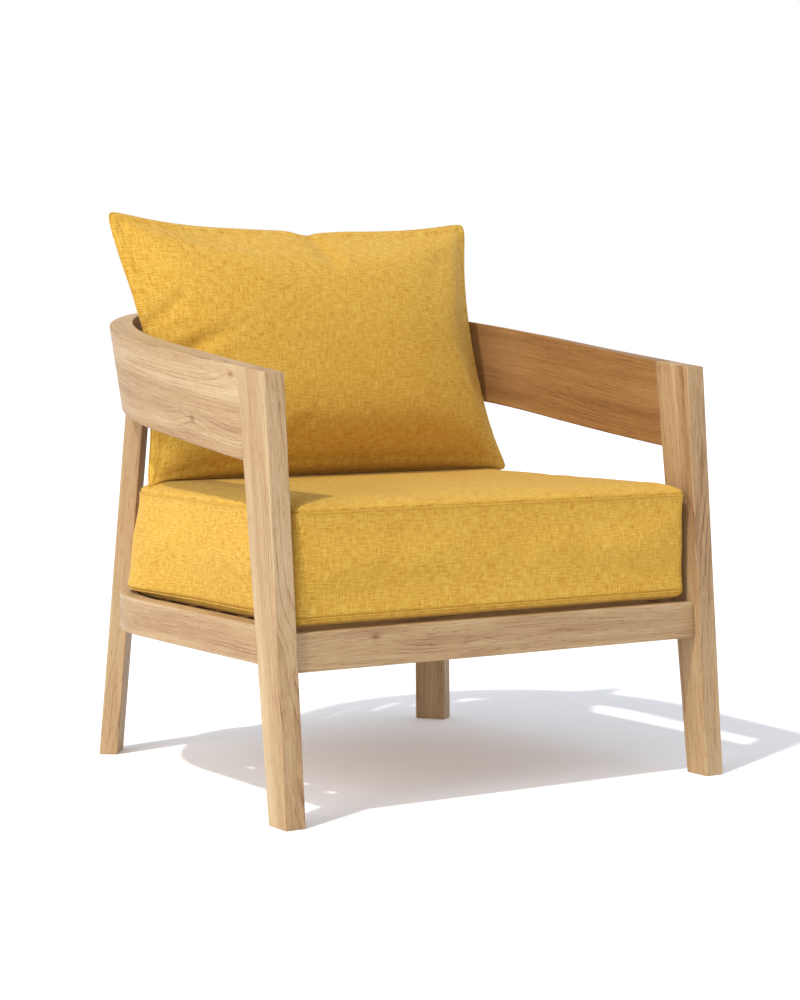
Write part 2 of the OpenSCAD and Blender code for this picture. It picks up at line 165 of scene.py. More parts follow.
@dataclass(frozen=True)
class OiledTeak:
    """Oiled teak, planed and sanded: straight fibres, a ring figure and a low satin gloss.

    The tone is a sum of staves, bands, fibres, thin late wood lines, pores and knots, which a colour ramp
    turns from pale early wood to dark streaks. A field that ends in per_m is a number of hills per metre,
    along, across and through the board.
    """

    name: str = "oiled teak"
    early: str = "BFA681"
    middle: str = "AB8B63"
    late: str = "916D48"
    streak: str = "653D20"
    middle_at: float = 0.36
    late_at: float = 0.66
    tone_range: tuple[float, float] = (0.98, 2.3)

    ring_mm: float = 5.0
    ring_slope: float = 0.35
    ring_uneven: float = 2.6
    ring_uneven_scale: float = 0.45
    wander_mm: float = 34.0
    wander_per_m: tuple[float, float, float] = (2.6, 7.0, 7.0)
    late_share: float = 0.85
    late_power: float = 6.0
    fade_per_m: tuple[float, float, float] = (7.0, 40.0, 40.0)
    fade_range: tuple[float, float] = (0.38, 0.66)

    stave_per_m: float = 20.0
    stave_share: float = 0.95
    band_per_m: tuple[float, float, float] = (2.2, 50.0, 50.0)
    fibre_mm: float = 2.0
    fibre_along_per_m: float = 14.0
    fibre_rough: float = 0.62
    fibre_share: float = 0.85
    pore_per_m: tuple[float, float, float] = (55.0, 640.0, 640.0)
    pore_range: tuple[float, float] = (0.58, 0.78)
    pore_share: float = 0.42

    knots: tuple[tuple[float, float, float], ...] = ()
    knot_core_m: tuple[float, float, float] = (0.007, 0.0045, 0.02)
    knot_share: float = 0.6
    swirl_m: tuple[float, float, float] = (0.055, 0.017, 0.03)
    swirl_mm: float = 16.0

    roughness: float = 0.52
    smoother: float = 0.08
    rougher: float = 0.12
    ior: float = 1.47
    bump: float = 0.22
    bump_mm: float = 0.6
    source: GrainSource = GrainSource.BOARD

    @staticmethod
    def hill(m: Tree, near: Socket, size: tuple[float, float, float]) -> Socket:
        """A smooth hill, the exponential of less the square of the distance over its size.

        Args:
            m: The tree being built.
            near: Place measured from the hill's middle.
            size: Half lengths in metres.

        Returns:
            The socket with its height, from 0 to 1.
        """
        scaled = m.add("VectorMath", {"operation": "DIVIDE"}, {0: near, 1: size}).outputs[0]
        square = m.add("VectorMath", {"operation": "DOT_PRODUCT"}, {0: scaled, 1: scaled})
        less = m.add("Math", {"operation": "MULTIPLY"}, {0: square.outputs["Value"], 1: -1.0})
        return m.add("Math", {"operation": "EXPONENT"}, {0: less.outputs[0]}).outputs[0]

    def grain(self, m: Tree) -> Socket:
        """Add the coordinates along, across and through the board, in metres.

        Args:
            m: The tree being built.

        Returns:
            The socket with the coordinates.
        """
        if self.source is GrainSource.BOARD:
            return m.add("Attribute", {"attribute_name": GRAIN}).outputs["Vector"]
        place = m.add("TexCoord").outputs["Object"]
        quarter = (0, 0, math.radians(90))
        return m.add("Mapping", inputs={"Vector": place, "Rotation": quarter}).outputs["Vector"]

    def rings(self, m: Tree, grain: Socket) -> tuple[Socket, Socket]:
        """Add the growth rings and the dark cores of the knots.

        A ring is a sheet at a slight slope across the board, moved by a slow wander and each knot's swirl.

        Args:
            m: The tree being built.
            grain: The board's coordinates.

        Returns:
            The place across the rings, in metres, and the height of the knots' cores.
        """
        slow = m.add("VectorMath", {"operation": "MULTIPLY"}, {0: grain, 1: self.wander_per_m}).outputs[0]
        wander = m.add("TexNoise", inputs={"Vector": slow, "Scale": 1.0, "Detail": 2.0}).outputs["Fac"]
        wide = self.wander_mm * MM
        moved = m.add(
            "Math", {"operation": "MULTIPLY_ADD"}, {0: wander, 1: wide, 2: -0.5 * wide}
        ).outputs[0]
        core = 0.0
        for knot in self.knots:
            middle = [c * MM for c in knot]
            near = m.add("VectorMath", {"operation": "SUBTRACT"}, {0: grain, 1: middle}).outputs[0]
            swirl = self.hill(m, near, self.swirl_m)
            moved = m.add(
                "Math", {"operation": "MULTIPLY_ADD"}, {0: swirl, 1: self.swirl_mm * MM, 2: moved}
            ).outputs[0]
            darker = self.hill(m, near, self.knot_core_m)
            core = m.add("Math", {"operation": "ADD"}, {0: darker, 1: core}).outputs[0]
        split = m.add("SeparateXYZ", inputs={0: grain})
        flat = m.add(
            "Math",
            {"operation": "MULTIPLY_ADD"},
            {0: split.outputs["Z"], 1: self.ring_slope, 2: split.outputs["Y"]},
        ).outputs[0]
        return m.add("Math", {"operation": "ADD"}, {0: flat, 1: moved}).outputs[0], core

    def late_lines(self, m: Tree, grain: Socket, ring: Socket) -> Socket:
        """Add the thin lines of late wood, unevenly spaced, which fade in and out along the board.

        Each line is the power of the share of the way through its ring. A one-dimensional noise of the ring
        count shifts each ring.

        Args:
            m: The tree being built.
            grain: The board's coordinates.
            ring: The place across the rings, in metres.

        Returns:
            The socket with the lines' strength.
        """
        count = m.add("Math", {"operation": "DIVIDE"}, {0: ring, 1: self.ring_mm * MM}).outputs[0]
        shift = m.add(
            "TexNoise", {"noise_dimensions": "1D"}, {"W": count, "Scale": self.ring_uneven_scale}
        ).outputs["Fac"]
        uneven = m.add(
            "Math", {"operation": "MULTIPLY_ADD"}, {0: shift, 1: self.ring_uneven, 2: count}
        ).outputs[0]
        phase = m.add("Math", {"operation": "FRACT"}, {0: uneven}).outputs[0]
        late = m.add("Math", {"operation": "POWER"}, {0: phase, 1: self.late_power}).outputs[0]
        fading = m.add("VectorMath", {"operation": "MULTIPLY"}, {0: grain, 1: self.fade_per_m}).outputs[0]
        fade = m.add("TexNoise", inputs={"Vector": fading, "Scale": 1.0, "Detail": 2.0}).outputs["Fac"]
        start, end = self.fade_range
        kept = m.add("MapRange", inputs={"Value": fade, "From Min": start, "From Max": end})
        return m.add("Math", {"operation": "MULTIPLY"}, {0: late, 1: kept.outputs["Result"]}).outputs[0]

    def make(self) -> bpy.types.Material:
        """Build the node tree.

        Returns:
            The material.
        """
        material = bpy.data.materials.new(self.name)
        m = Tree(material)
        grain = self.grain(m)
        ring, core = self.rings(m, grain)
        line = self.late_lines(m, grain, ring)
        # Fibres are drawn about twice as coarse as real ones, so that they show at a metre or more.
        per_m = 1.0 / (self.fibre_mm * MM)
        fine = m.add(
            "VectorMath", {"operation": "MULTIPLY"}, {0: grain, 1: (self.fibre_along_per_m, per_m, per_m)}
        ).outputs[0]
        fibre = m.add(
            "TexNoise", inputs={"Vector": fine, "Scale": 1.0, "Detail": 3.0, "Roughness": self.fibre_rough}
        ).outputs["Fac"]
        # Staves of heartwood and sapwood follow the rings, and long bands run along the board.
        stave = m.add(
            "TexNoise", {"noise_dimensions": "1D"}, {"W": ring, "Scale": self.stave_per_m}
        ).outputs["Fac"]
        broad = m.add("VectorMath", {"operation": "MULTIPLY"}, {0: grain, 1: self.band_per_m}).outputs[0]
        band = m.add("TexNoise", inputs={"Vector": broad, "Scale": 1.0, "Detail": 3.0}).outputs["Fac"]
        # Open pores are short dark dashes along the fibres.
        dashes = m.add("VectorMath", {"operation": "MULTIPLY"}, {0: grain, 1: self.pore_per_m}).outputs[0]
        pore = m.add("TexNoise", inputs={"Vector": dashes, "Scale": 1.0, "Detail": 1.0}).outputs["Fac"]
        start, end = self.pore_range
        pored = m.add("MapRange", inputs={"Value": pore, "From Min": start, "From Max": end})
        tone = band
        for layer, share in (
            (stave, self.stave_share),
            (fibre, self.fibre_share),
            (line, self.late_share),
            (pored.outputs["Result"], self.pore_share),
            (core, self.knot_share),
        ):
            tone = m.add("Math", {"operation": "MULTIPLY_ADD"}, {0: layer, 1: share, 2: tone}).outputs[0]
        start, end = self.tone_range
        factor = m.add("MapRange", inputs={"Value": tone, "From Min": start, "From Max": end})
        middle, late = (self.middle_at, self.middle), (self.late_at, self.late)
        colour = m.ramp(factor.outputs["Result"], [(0.0, self.early), middle, late, (1.0, self.streak)])
        rough = m.add(
            "MapRange",
            inputs={"Value": fibre, "To Min": self.roughness - self.smoother,
                    "To Max": self.roughness + self.rougher},
        )
        bump = m.add(
            "Bump", inputs={"Strength": self.bump, "Distance": self.bump_mm * MM, "Height": fibre}
        )
        shader = m.add(
            "BsdfPrincipled",
            inputs={"Base Color": colour, "Roughness": rough.outputs["Result"],
                    "Normal": bump.outputs["Normal"], "IOR": self.ior},
        )
        m.add("OutputMaterial", inputs={"Surface": shader.outputs["BSDF"]})
        return material


@dataclass(frozen=True)
class ZincSteel:
    """Zinc-plated steel screws: a bright grey metal, slightly mottled by the plating."""

    name: str = "zinc plated steel"
    bright: str = "C9CBCC"
    dull: str = "8F9294"
    mottle_mm: float = 3.0
    smooth: float = 0.28
    rough: float = 0.5

    def make(self) -> bpy.types.Material:
        """Build the node tree.

        Returns:
            The material.
        """
        material = bpy.data.materials.new(self.name)
        m = Tree(material)
        place = m.add("TexCoord").outputs["Object"]
        per_m = 1.0 / (self.mottle_mm * MM)
        mottle = m.add("TexNoise", inputs={"Vector": place, "Scale": per_m, "Detail": 3.0}).outputs["Fac"]
        colour = m.ramp(mottle, [(0.35, self.dull), (0.65, self.bright)])
        rough = m.add("MapRange", inputs={"Value": mottle, "To Min": self.smooth, "To Max": self.rough})
        shader = m.add(
            "BsdfPrincipled",
            inputs={"Base Color": colour, "Metallic": 1.0, "Roughness": rough.outputs["Result"]},
        )
        m.add("OutputMaterial", inputs={"Surface": shader.outputs["BSDF"]})
        return material


@dataclass(frozen=True)
class WovenAcrylic:
    """Solution-dyed acrylic canvas in a plain weave: matt, with yarns of two yellows and thick slubs.

    The weave is the product of two sine waves, one along each yarn direction. Two stretched noises make the
    yarns' slubs, and a broad one makes the cloth's slow change of shade.
    """

    name: str = "woven acrylic"
    light: str = "D7B157"
    middle: str = "C79B39"
    deep: str = "AD7219"
    fuzz: str = "FFE9B0"
    tone_range: tuple[float, float] = (0.68, 1.50)
    pitch_mm: float = 4.0
    crossing_share: float = -0.12
    yarn_mm: float = 2.1
    slub_mm: float = 16.0
    slub_relief: float = -0.9
    wander_per_m: float = 38.0
    wander_m: float = 0.0035
    patch_per_m: float = 9.0
    patch_share: float = 0.20
    roughness: float = 0.88
    gloss: float = 0.25
    sheen: float = 0.18
    bump: float = 0.38
    bump_mm: float = 0.7

    def slubs(self, m: Tree, place: Socket) -> Socket:
        """Add the thick and thin places of warp and weft, each a noise stretched along its yarns.

        Args:
            m: The tree being built.
            place: The weave's map, in metres.

        Returns:
            The socket with the sum of both.
        """
        thread = 1.0 / (self.yarn_mm * MM)
        slub = 1.0 / (self.slub_mm * MM)
        elsewhere = (7.0, 3.0, 5.0)
        warp_at = m.add("VectorMath", {"operation": "MULTIPLY"}, {0: place, 1: (slub, thread, 1.0)})
        weft_at = m.add(
            "VectorMath", {"operation": "MULTIPLY_ADD"}, {0: place, 1: (thread, slub, 1.0), 2: elsewhere}
        )
        warp = m.add("TexNoise", inputs={"Vector": warp_at.outputs[0], "Scale": 1.0, "Detail": 2.0})
        weft = m.add("TexNoise", inputs={"Vector": weft_at.outputs[0], "Scale": 1.0, "Detail": 2.0})
        both = {0: warp.outputs["Fac"], 1: weft.outputs["Fac"]}
        return m.add("Math", {"operation": "ADD"}, both).outputs[0]

    def crossing(self, m: Tree, place: Socket) -> Socket:
        """Add the over and under of the yarns, whose lines wander a little, so no row is ruled.

        Args:
            m: The tree being built.
            place: The weave's map, in metres.

        Returns:
            The socket with the product of the two waves, from -1 to 1.
        """
        wander = m.add(
            "TexNoise", inputs={"Vector": place, "Scale": self.wander_per_m, "Detail": 2.0}
        ).outputs["Color"]
        centred = m.add("VectorMath", {"operation": "SUBTRACT"}, {0: wander, 1: (0.5, 0.5, 0.5)}).outputs[0]
        reach = (self.wander_m, self.wander_m, 0.0)
        moved = m.add(
            "VectorMath", {"operation": "MULTIPLY_ADD"}, {0: centred, 1: reach, 2: place}
        ).outputs[0]
        # Real yarns are about 1 mm apart. They are drawn 2 mm apart, two to a wave, so that they show.
        turn = 2 * math.pi / (self.pitch_mm * MM)
        scaled = m.add("VectorMath", {"operation": "MULTIPLY"}, {0: moved, 1: (turn, turn, 0)}).outputs[0]
        waves = m.add("VectorMath", {"operation": "SINE"}, {0: scaled}).outputs[0]
        split = m.add("SeparateXYZ", inputs={0: waves}).outputs
        return m.add("Math", {"operation": "MULTIPLY"}, {0: split["X"], 1: split["Y"]}).outputs[0]

    def make(self) -> bpy.types.Material:
        """Build the node tree.

        Returns:
            The material.
        """
        material = bpy.data.materials.new(self.name)
        m = Tree(material)
        place = m.add("UVMap", {"uv_map": WEAVE}).outputs["UV"]
        crossing = self.crossing(m, place)
        slubs = self.slubs(m, place)
        patch = m.add(
            "TexNoise", inputs={"Vector": place, "Scale": self.patch_per_m, "Detail": 3.0}
        ).outputs["Fac"]
        tone = slubs
        for layer, share in ((patch, self.patch_share), (crossing, self.crossing_share)):
            tone = m.add("Math", {"operation": "MULTIPLY_ADD"}, {0: layer, 1: share, 2: tone}).outputs[0]
        start, end = self.tone_range
        factor = m.add("MapRange", inputs={"Value": tone, "From Min": start, "From Max": end})
        colour = m.ramp(
            factor.outputs["Result"], [(0.0, self.light), (0.5, self.middle), (1.0, self.deep)]
        )
        height = m.add(
            "Math", {"operation": "MULTIPLY_ADD"}, {0: slubs, 1: self.slub_relief, 2: crossing}
        ).outputs[0]
        bump = m.add(
            "Bump", inputs={"Strength": self.bump, "Distance": self.bump_mm * MM, "Height": height}
        )
        shader = m.add(
            "BsdfPrincipled",
            inputs={"Base Color": colour, "Roughness": self.roughness, "Normal": bump.outputs["Normal"],
                    "Sheen Weight": self.sheen, "Sheen Roughness": 0.5, "Sheen Tint": linear(self.fuzz),
                    "Specular IOR Level": self.gloss},
        )
        m.add("OutputMaterial", inputs={"Surface": shader.outputs["BSDF"]})
        return material


@dataclass(frozen=True)
class PaperSweep:
    """Seamless studio paper, matt and pale, with a faint painted glow of its own so that its shadows stay
    soft and pale.
    """

    name: str = "seamless paper"
    pale: str = "F9F9FA"
    shade: str = "F6F6F8"
    painted_glow: float = 0.11
    roughness: float = 0.9
    gloss: float = 0.1
    cloud_per_m: float = 0.8

    def make(self) -> bpy.types.Material:
        """Build the node tree.

        Returns:
            The material.
        """
        material = bpy.data.materials.new(self.name)
        m = Tree(material)
        place = m.add("TexCoord").outputs["Object"]
        cloud = m.add("TexNoise", inputs={"Vector": place, "Scale": self.cloud_per_m, "Detail": 3.0})
        colour = m.ramp(cloud.outputs["Fac"], [(0.3, self.shade), (0.7, self.pale)])
        # The emission is painted light: the paper glows faintly, which lightens its shadows and lights the
        # chair a little from below.
        shader = m.add(
            "BsdfPrincipled",
            inputs={"Base Color": colour, "Roughness": self.roughness, "Specular IOR Level": self.gloss,
                    "Emission Color": linear(self.pale), "Emission Strength": self.painted_glow},
        )
        m.add("OutputMaterial", inputs={"Surface": shader.outputs["BSDF"]})
        return material


# ---------------------------------------------------------------------------
# Meshes
# ---------------------------------------------------------------------------


def signed_volume(points: Array, triangles: Indices) -> float:
    """Volume under a closed triangle mesh, positive when its faces point outwards."""
    a, b, c = (points[triangles[:, i]] for i in range(3))
    return float(np.einsum("ij,ij->i", a, np.cross(b, c)).sum() / 6)


def grid_quads(rows: int, columns: int, wrap: bool) -> Indices:
    """Quads of a grid of points stored row by row.

    Args:
        rows: Number of rows.
        columns: Number of points in a row.
        wrap: Whether each row closes on itself.

    Returns:
        An array of four indices per quad.
    """
    last = columns if wrap else columns - 1
    i, j = np.meshgrid(np.arange(rows - 1), np.arange(last), indexing="ij")
    k = (j + 1) % columns
    quads = np.stack([i * columns + j, i * columns + k, (i + 1) * columns + k, (i + 1) * columns + j])
    return quads.reshape(4, -1).T


def mesh_object(
    name: str,
    points: Array,
    quads: Indices,
    triangles: Indices | None = None,
    grain: Array | None = None,
) -> bpy.types.Object:
    """Make a smooth-shaded object from whole arrays.

    Args:
        name: The piece's name.
        points: Points in metres.
        quads: Four indices per face.
        triangles: Three indices per face, for poles and caps.
        grain: Grain coordinates per point, in metres.

    Returns:
        The linked object, its faces pointing outwards.
    """
    triangles = np.zeros((0, 3), int) if triangles is None else triangles
    halves = np.concatenate([quads[:, [0, 1, 2]], quads[:, [0, 2, 3]], triangles])
    if signed_volume(points, halves) < 0:
        quads, triangles = quads[:, ::-1], triangles[:, ::-1]
    mesh = bpy.data.meshes.new(name)
    mesh.from_pydata(points.tolist(), [], quads.tolist() + triangles.tolist())
    if grain is not None:
        layer = mesh.attributes.new(GRAIN, "FLOAT_VECTOR", "POINT")
        layer.data.foreach_set("vector", grain.astype(np.float32).ravel())
    mesh.shade_smooth()
    piece = bpy.data.objects.new(name, mesh)
    bpy.context.scene.collection.objects.link(piece)
    return piece


def rim_of(rows: int, columns: int) -> Indices:
    """Border points of a grid, once round from its first corner.

    Args:
        rows: Number of rows.
        columns: Number of points in a row.

    Returns:
        The points' indices: first row, last column, last row backwards, first column backwards.
    """
    return np.concatenate([
        np.arange(columns), np.arange(2, rows + 1) * columns - 1,
        (rows - 1) * columns + np.arange(columns - 2, -1, -1), np.arange(rows - 2, 0, -1) * columns])


def caps(base: int, around: int) -> Indices:
    """Triangles that close both ends of a tube on two poles.

    Args:
        base: Number of points of the tube, after which its two poles come.
        around: Points round the tube.

    Returns:
        An array of three indices per triangle.
    """
    ring = np.arange(around)
    after = (ring + 1) % around
    first = np.stack([np.full(around, base), after, ring], 1)
    last = np.stack([np.full(around, base + 1), base - around + ring, base - around + after], 1)
    return np.concatenate([first, last])


def run_along(line: Array) -> Array:
    """Distance of each point from the first, measured along the line."""
    return np.concatenate([[0.0], np.cumsum(np.linalg.norm(np.diff(line, axis=0), axis=1))])


def loops_of(piece: bpy.types.Object) -> NDArray[np.int32]:
    """Find the point of each face corner.

    Args:
        piece: The object.

    Returns:
        Point indices, in the order of the faces.
    """
    loops = np.empty(len(piece.data.loops), np.int32)
    piece.data.loops.foreach_get("vertex_index", loops)
    return loops


def mesh_points(piece: bpy.types.Object) -> Array:
    """Read the piece's points.

    Args:
        piece: The object.

    Returns:
        The points, in metres.
    """
    flat = np.empty(len(piece.data.vertices) * 3, np.float32)
    piece.data.vertices.foreach_get("co", flat)
    return flat.reshape(-1, 3).astype(float)


def set_points(piece: bpy.types.Object, points: Array) -> None:
    """Put whole arrays of points back into the piece's mesh."""
    piece.data.vertices.foreach_set("co", points.astype(np.float32).ravel())
    piece.data.update()


def dress(piece: bpy.types.Object, material: bpy.types.Material) -> None:
    """Give the whole piece one material."""
    piece.data.materials.clear()
    piece.data.materials.append(material)


def place_weave(piece: bpy.types.Object, corners_uv: Array) -> None:
    """Write the weave's map, in metres along the two yarn directions, one pair per face corner."""
    layer = piece.data.uv_layers.new(name=WEAVE)
    layer.uv.foreach_set("vector", corners_uv.astype(np.float32).ravel())


# ---------------------------------------------------------------------------
# Wooden bars
# ---------------------------------------------------------------------------


@dataclass(frozen=True)
class Easing:
    """The small round on a planed board's edges.

    The radii are in millimetres. The support points lie support radii past the arcs, and no section of the
    board's own is kept closer to an end than clear times their distance.
    """

    radius: float = 1.7
    least: float = 0.12
    steps: int = 3
    support: float = 1.6
    clear: float = 1.5


@dataclass(frozen=True)
class Cut:
    """Which part of the log a board comes from, in millimetres."""

    along: float
    across: float
    through: float


def eased_outline(width: Array, height: Array, inset: Array, easing: Easing) -> tuple[Array, Array]:
    """Rounded rectangle inside each section, as shares of its width and height.

    The corner arcs have the easing's radius less the inset, and each straight side has two support points
    close to the arcs, so that smooth shading leaves the faces flat.

    Args:
        width: Width of each section, in millimetres.
        height: Height of each section.
        inset: How far the outline is drawn in at each section.
        easing: The edge's round.

    Returns:
        Shares along the width and along the height, one row per section.
    """
    turns = np.linspace(0, math.pi / 2, easing.steps + 1)
    radius = np.maximum(easing.radius - inset, easing.least)[:, None]
    edge = inset[:, None]
    reach = edge + radius * easing.support
    rising = edge + radius * (1 - np.cos(turns))
    falling = edge + radius * (1 - np.sin(turns))
    even = np.concatenate([edge, rising, reach], 1), np.concatenate([reach, falling, edge], 1)
    odd = even[1], even[0]
    shares_p, shares_q = [], []
    for (from_p, from_q), p_side, q_side in ((even, 0, 0), (odd, 1, 0), (even, 1, 1), (odd, 0, 1)):
        share_p, share_q = from_p / width[:, None], from_q / height[:, None]
        shares_p.append(1 - share_p if p_side else share_p)
        shares_q.append(1 - share_q if q_side else share_q)
    return np.concatenate(shares_p, 1), np.concatenate(shares_q, 1)


def eased_bar(name: str, corners: Array, cut: Cut, easing: Easing = Easing()) -> bpy.types.Object:
    """A board swept through four-cornered sections, with all its edges eased.

    Each point is the bilinear blend of its section's four corners at the shares that eased_outline gives.
    The two ends draw in over a quarter circle and close on a middle point. The grain runs along the board.

    Args:
        name: The piece's name.
        corners: Sections as rows of four corners, in millimetres. Going round, the first to the second is
            the thickness and the first to the fourth is the height.
        cut: Where the board lies in its log.
        easing: The edge's round.

    Returns:
        The piece.
    """
    middle = corners.mean(1)
    place = run_along(middle)
    length = place[-1]
    turns = np.linspace(0, math.pi / 2, easing.steps + 1)
    end_place = easing.radius * (1 - np.cos(turns))
    end_inset = easing.radius * (1 - np.sin(turns))
    support = easing.radius * (1 + easing.support)
    clear = support * easing.clear
    inner = place[(place > clear) & (place < length - clear)]
    stops = np.concatenate([end_place, [support], inner, [length - support], length - end_place[::-1]])
    inset = np.concatenate([end_inset, np.zeros(len(inner) + 2), end_inset[::-1]])
    rows = np.stack(
        [[np.interp(stops, place, corners[:, c, a]) for a in range(3)] for c in range(4)]
    ).transpose(2, 0, 1)
    width = np.linalg.norm(rows[:, 1] - rows[:, 0], axis=1)
    height = np.linalg.norm(rows[:, 3] - rows[:, 0], axis=1)
    p, q = eased_outline(width, height, inset, easing)
    weights = np.stack([(1 - p) * (1 - q), p * (1 - q), p * q, (1 - p) * q])
    points = np.einsum("cnk,nca->nka", weights, rows)
    count, around = p.shape
    along = np.broadcast_to(stops[:, None], p.shape)
    grain = np.stack(
        [along + cut.along, q * height[:, None] + cut.across, p * width[:, None] + cut.through], -1
    )
    ends = points[[0, -1]].mean(1)
    end_grain = grain[[0, -1]].mean(1)
    return mesh_object(
        name,
        np.concatenate([points.reshape(-1, 3), ends]) * MM,
        grid_quads(count, around, True),
        caps(count * around, around),
        np.concatenate([grain.reshape(-1, 3), end_grain]) * MM,
    )


def mirrored(corners: Array, side: Side) -> Array:
    """The sections as they are for the right side, or turned over the middle plane for the left."""
    return corners * np.array([side, 1, 1])


@dataclass(frozen=True)
class Plan:
    """Sizes that more than one sub-assembly shares, in millimetres, as the part has them."""

    half_w: float
    front_y: float
    rear_y: float
    arm_h: float = 620.0
    leg_t: float = 32.0
    leg_foot: float = 47.0
    leg_top: float = 76.0
    leg_rake: float = 55.0
    rail_h: float = 54.0
    rail_t: float = 28.0
    rail_top: float = 273.0
    bend_r: float = 300.0
    bend_from_front: float = 427.5
    diagonal: float = 105.0
    back_r: float = 90.0
    corner: float = math.atan2(3, 4)

    @property
    def leg_in(self) -> float:
        """Inner face of a front leg."""
        return self.half_w - self.leg_t

    @property
    def bend_x(self) -> float:
        """Centre of the side rail's bend, across."""
        return self.half_w - self.bend_r

    @property
    def bend_y(self) -> float:
        """Centre of the side rail's bend, front to back."""
        return self.front_y + self.bend_from_front

    @property
    def back_centre(self) -> Array:
        """Centre of the back rail's corner arc.

        Returns:
            Its place across and front to back.
        """
        cos, sin = math.cos(self.corner), math.sin(self.corner)
        reach = self.bend_r - self.back_r
        x = self.bend_x + reach * cos - self.diagonal * sin
        y = self.bend_y + reach * sin + self.diagonal * cos
        return np.array([x, y])

    def leg_front(self, z: Array | float) -> Array | float:
        """Front edge of a front leg at height z."""
        return self.front_y + self.leg_rake * z / self.arm_h

    def leg_rear(self, z: Array | float) -> Array | float:
        """Rear edge of a front leg at height z."""
        return self.front_y + self.leg_foot + (self.leg_rake + self.leg_top - self.leg_foot) * z / self.arm_h

    def inside_x(self, y: float, inset: float) -> float:
        """Half the width inside the rails: the straight side, then the bend, then the slanted run.

        Args:
            y: Depth.
            inset: How far inside the rails' outer outline.

        Returns:
            Distance from the middle plane.
        """
        radius = self.bend_r - inset
        if y < self.bend_y:
            return self.half_w - inset
        if y < self.bend_y + radius * math.sin(self.corner):
            return self.bend_x + math.sqrt(radius**2 - (y - self.bend_y) ** 2)
        return self.bend_x + (radius - (y - self.bend_y) * math.sin(self.corner)) / math.cos(self.corner)


def cad_nodes() -> dict[str, bpy.types.Object]:
    """The CAD nodes by name."""
    return {o["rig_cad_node"]: o for o in bpy.data.objects if "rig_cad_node" in o}


def box_of(node: str) -> tuple[Array, Array]:
    """Lowest and highest corner of a CAD node, in millimetres."""
    low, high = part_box(node)
    return np.array(low) / MM, np.array(high) / MM


# ---------------------------------------------------------------------------
# Sub-assemblies in wood
# ---------------------------------------------------------------------------


@dataclass
class Assembly:
    """What every wooden sub-assembly has: the shared plan, its finish, its body and its material slot."""

    plan: Plan
    wood: bpy.types.Material
    body: str = "frame"
    slot: str = "teak"

    def keep(
        self, piece: bpy.types.Object, node: str, finish: bpy.types.Material | None = None
    ) -> None:
        """Dress a finished piece, tie it to its body and hide the CAD node it stands for.

        Args:
            piece: The finished piece.
            node: The CAD node it replaces.
            finish: Its material, when it isn't the sub-assembly's own.
        """
        dress(piece, finish or self.wood)
        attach(piece, self.body)
        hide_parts(node)
        log.info("%s: %d faces, on %s", piece.name, len(piece.data.polygons), self.body)


@dataclass
class FrontLegs(Assembly):
    """The two slanted, tapering front legs, their tops cut along the arms' rise."""

    def build(self, band: ArmBand) -> None:
        """Build both legs.

        Args:
            band: The arm band, whose top edge the legs' tops follow.
        """
        p = self.plan
        z_rear = band.top_z(p.leg_rear(p.arm_h))
        foot = [[p.half_w, p.leg_rear(0), 0], [p.leg_in, p.leg_rear(0), 0],
                [p.leg_in, p.leg_front(0), 0], [p.half_w, p.leg_front(0), 0]]
        top = [[p.half_w, p.leg_rear(z_rear), z_rear], [p.leg_in, p.leg_rear(z_rear), z_rear],
               [p.leg_in, p.leg_front(p.arm_h), p.arm_h], [p.half_w, p.leg_front(p.arm_h), p.arm_h]]
        corners = np.array([foot, top], float)
        for side, word, cut in (
            (LEFT, "left", Cut(along=300, across=-38, through=34)),
            (RIGHT, "right", Cut(along=2100, across=-12, through=52)),
        ):
            leg = eased_bar(f"leg_front_{word}", mirrored(corners, side), cut)
            self.keep(leg, f"front_leg_{word}")


@dataclass
class RearLegs(Assembly):
    """The two rear legs, square on to the seat frame's rear corners, leaning in towards the band."""

    width: float = 53.0
    thickness: float = 29.0
    foot_x: float = 310.0
    foot_from_front: float = 685.0
    lean: float = 5.1
    twist: float = 1.2
    length: float = 564.0

    def build(self) -> None:
        """Build both legs.

        Each edge is a straight line along the leg's leaning axis, from the floor up into the band's
        underside. The axis is upright, turned by the lean, the twist and the frame's corner in turn.
        """
        p = self.plan
        a, b, c = math.radians(self.lean), math.radians(self.twist), p.corner - math.pi / 2
        about_x = np.array([[1, 0, 0], [0, math.cos(a), -math.sin(a)], [0, math.sin(a), math.cos(a)]])
        about_y = np.array([[math.cos(b), 0, math.sin(b)], [0, 1, 0], [-math.sin(b), 0, math.cos(b)]])
        about_z = np.array([[math.cos(c), -math.sin(c), 0], [math.sin(c), math.cos(c), 0], [0, 0, 1]])
        turn = about_z @ about_y @ about_x
        foot = np.array([self.foot_x, p.front_y + self.foot_from_front, 0])
        half = np.array([[-1, 1], [-1, -1], [1, -1], [1, 1]]) * [self.width / 2, self.thickness / 2]
        edges = foot + half @ turn[:, :2].T
        axis = turn[:, 2]
        low = edges - axis * (edges[:, 2:] / axis[2])
        high = edges + axis * self.length
        corners = np.stack([low, high])
        for side, word, cut in (
            (LEFT, "left", Cut(along=900, across=-20, through=70)),
            (RIGHT, "right", Cut(along=3300, across=-30, through=46)),
        ):
            leg = eased_bar(f"leg_rear_{word}", mirrored(corners, side), cut)
            self.keep(leg, f"rear_leg_{word}")


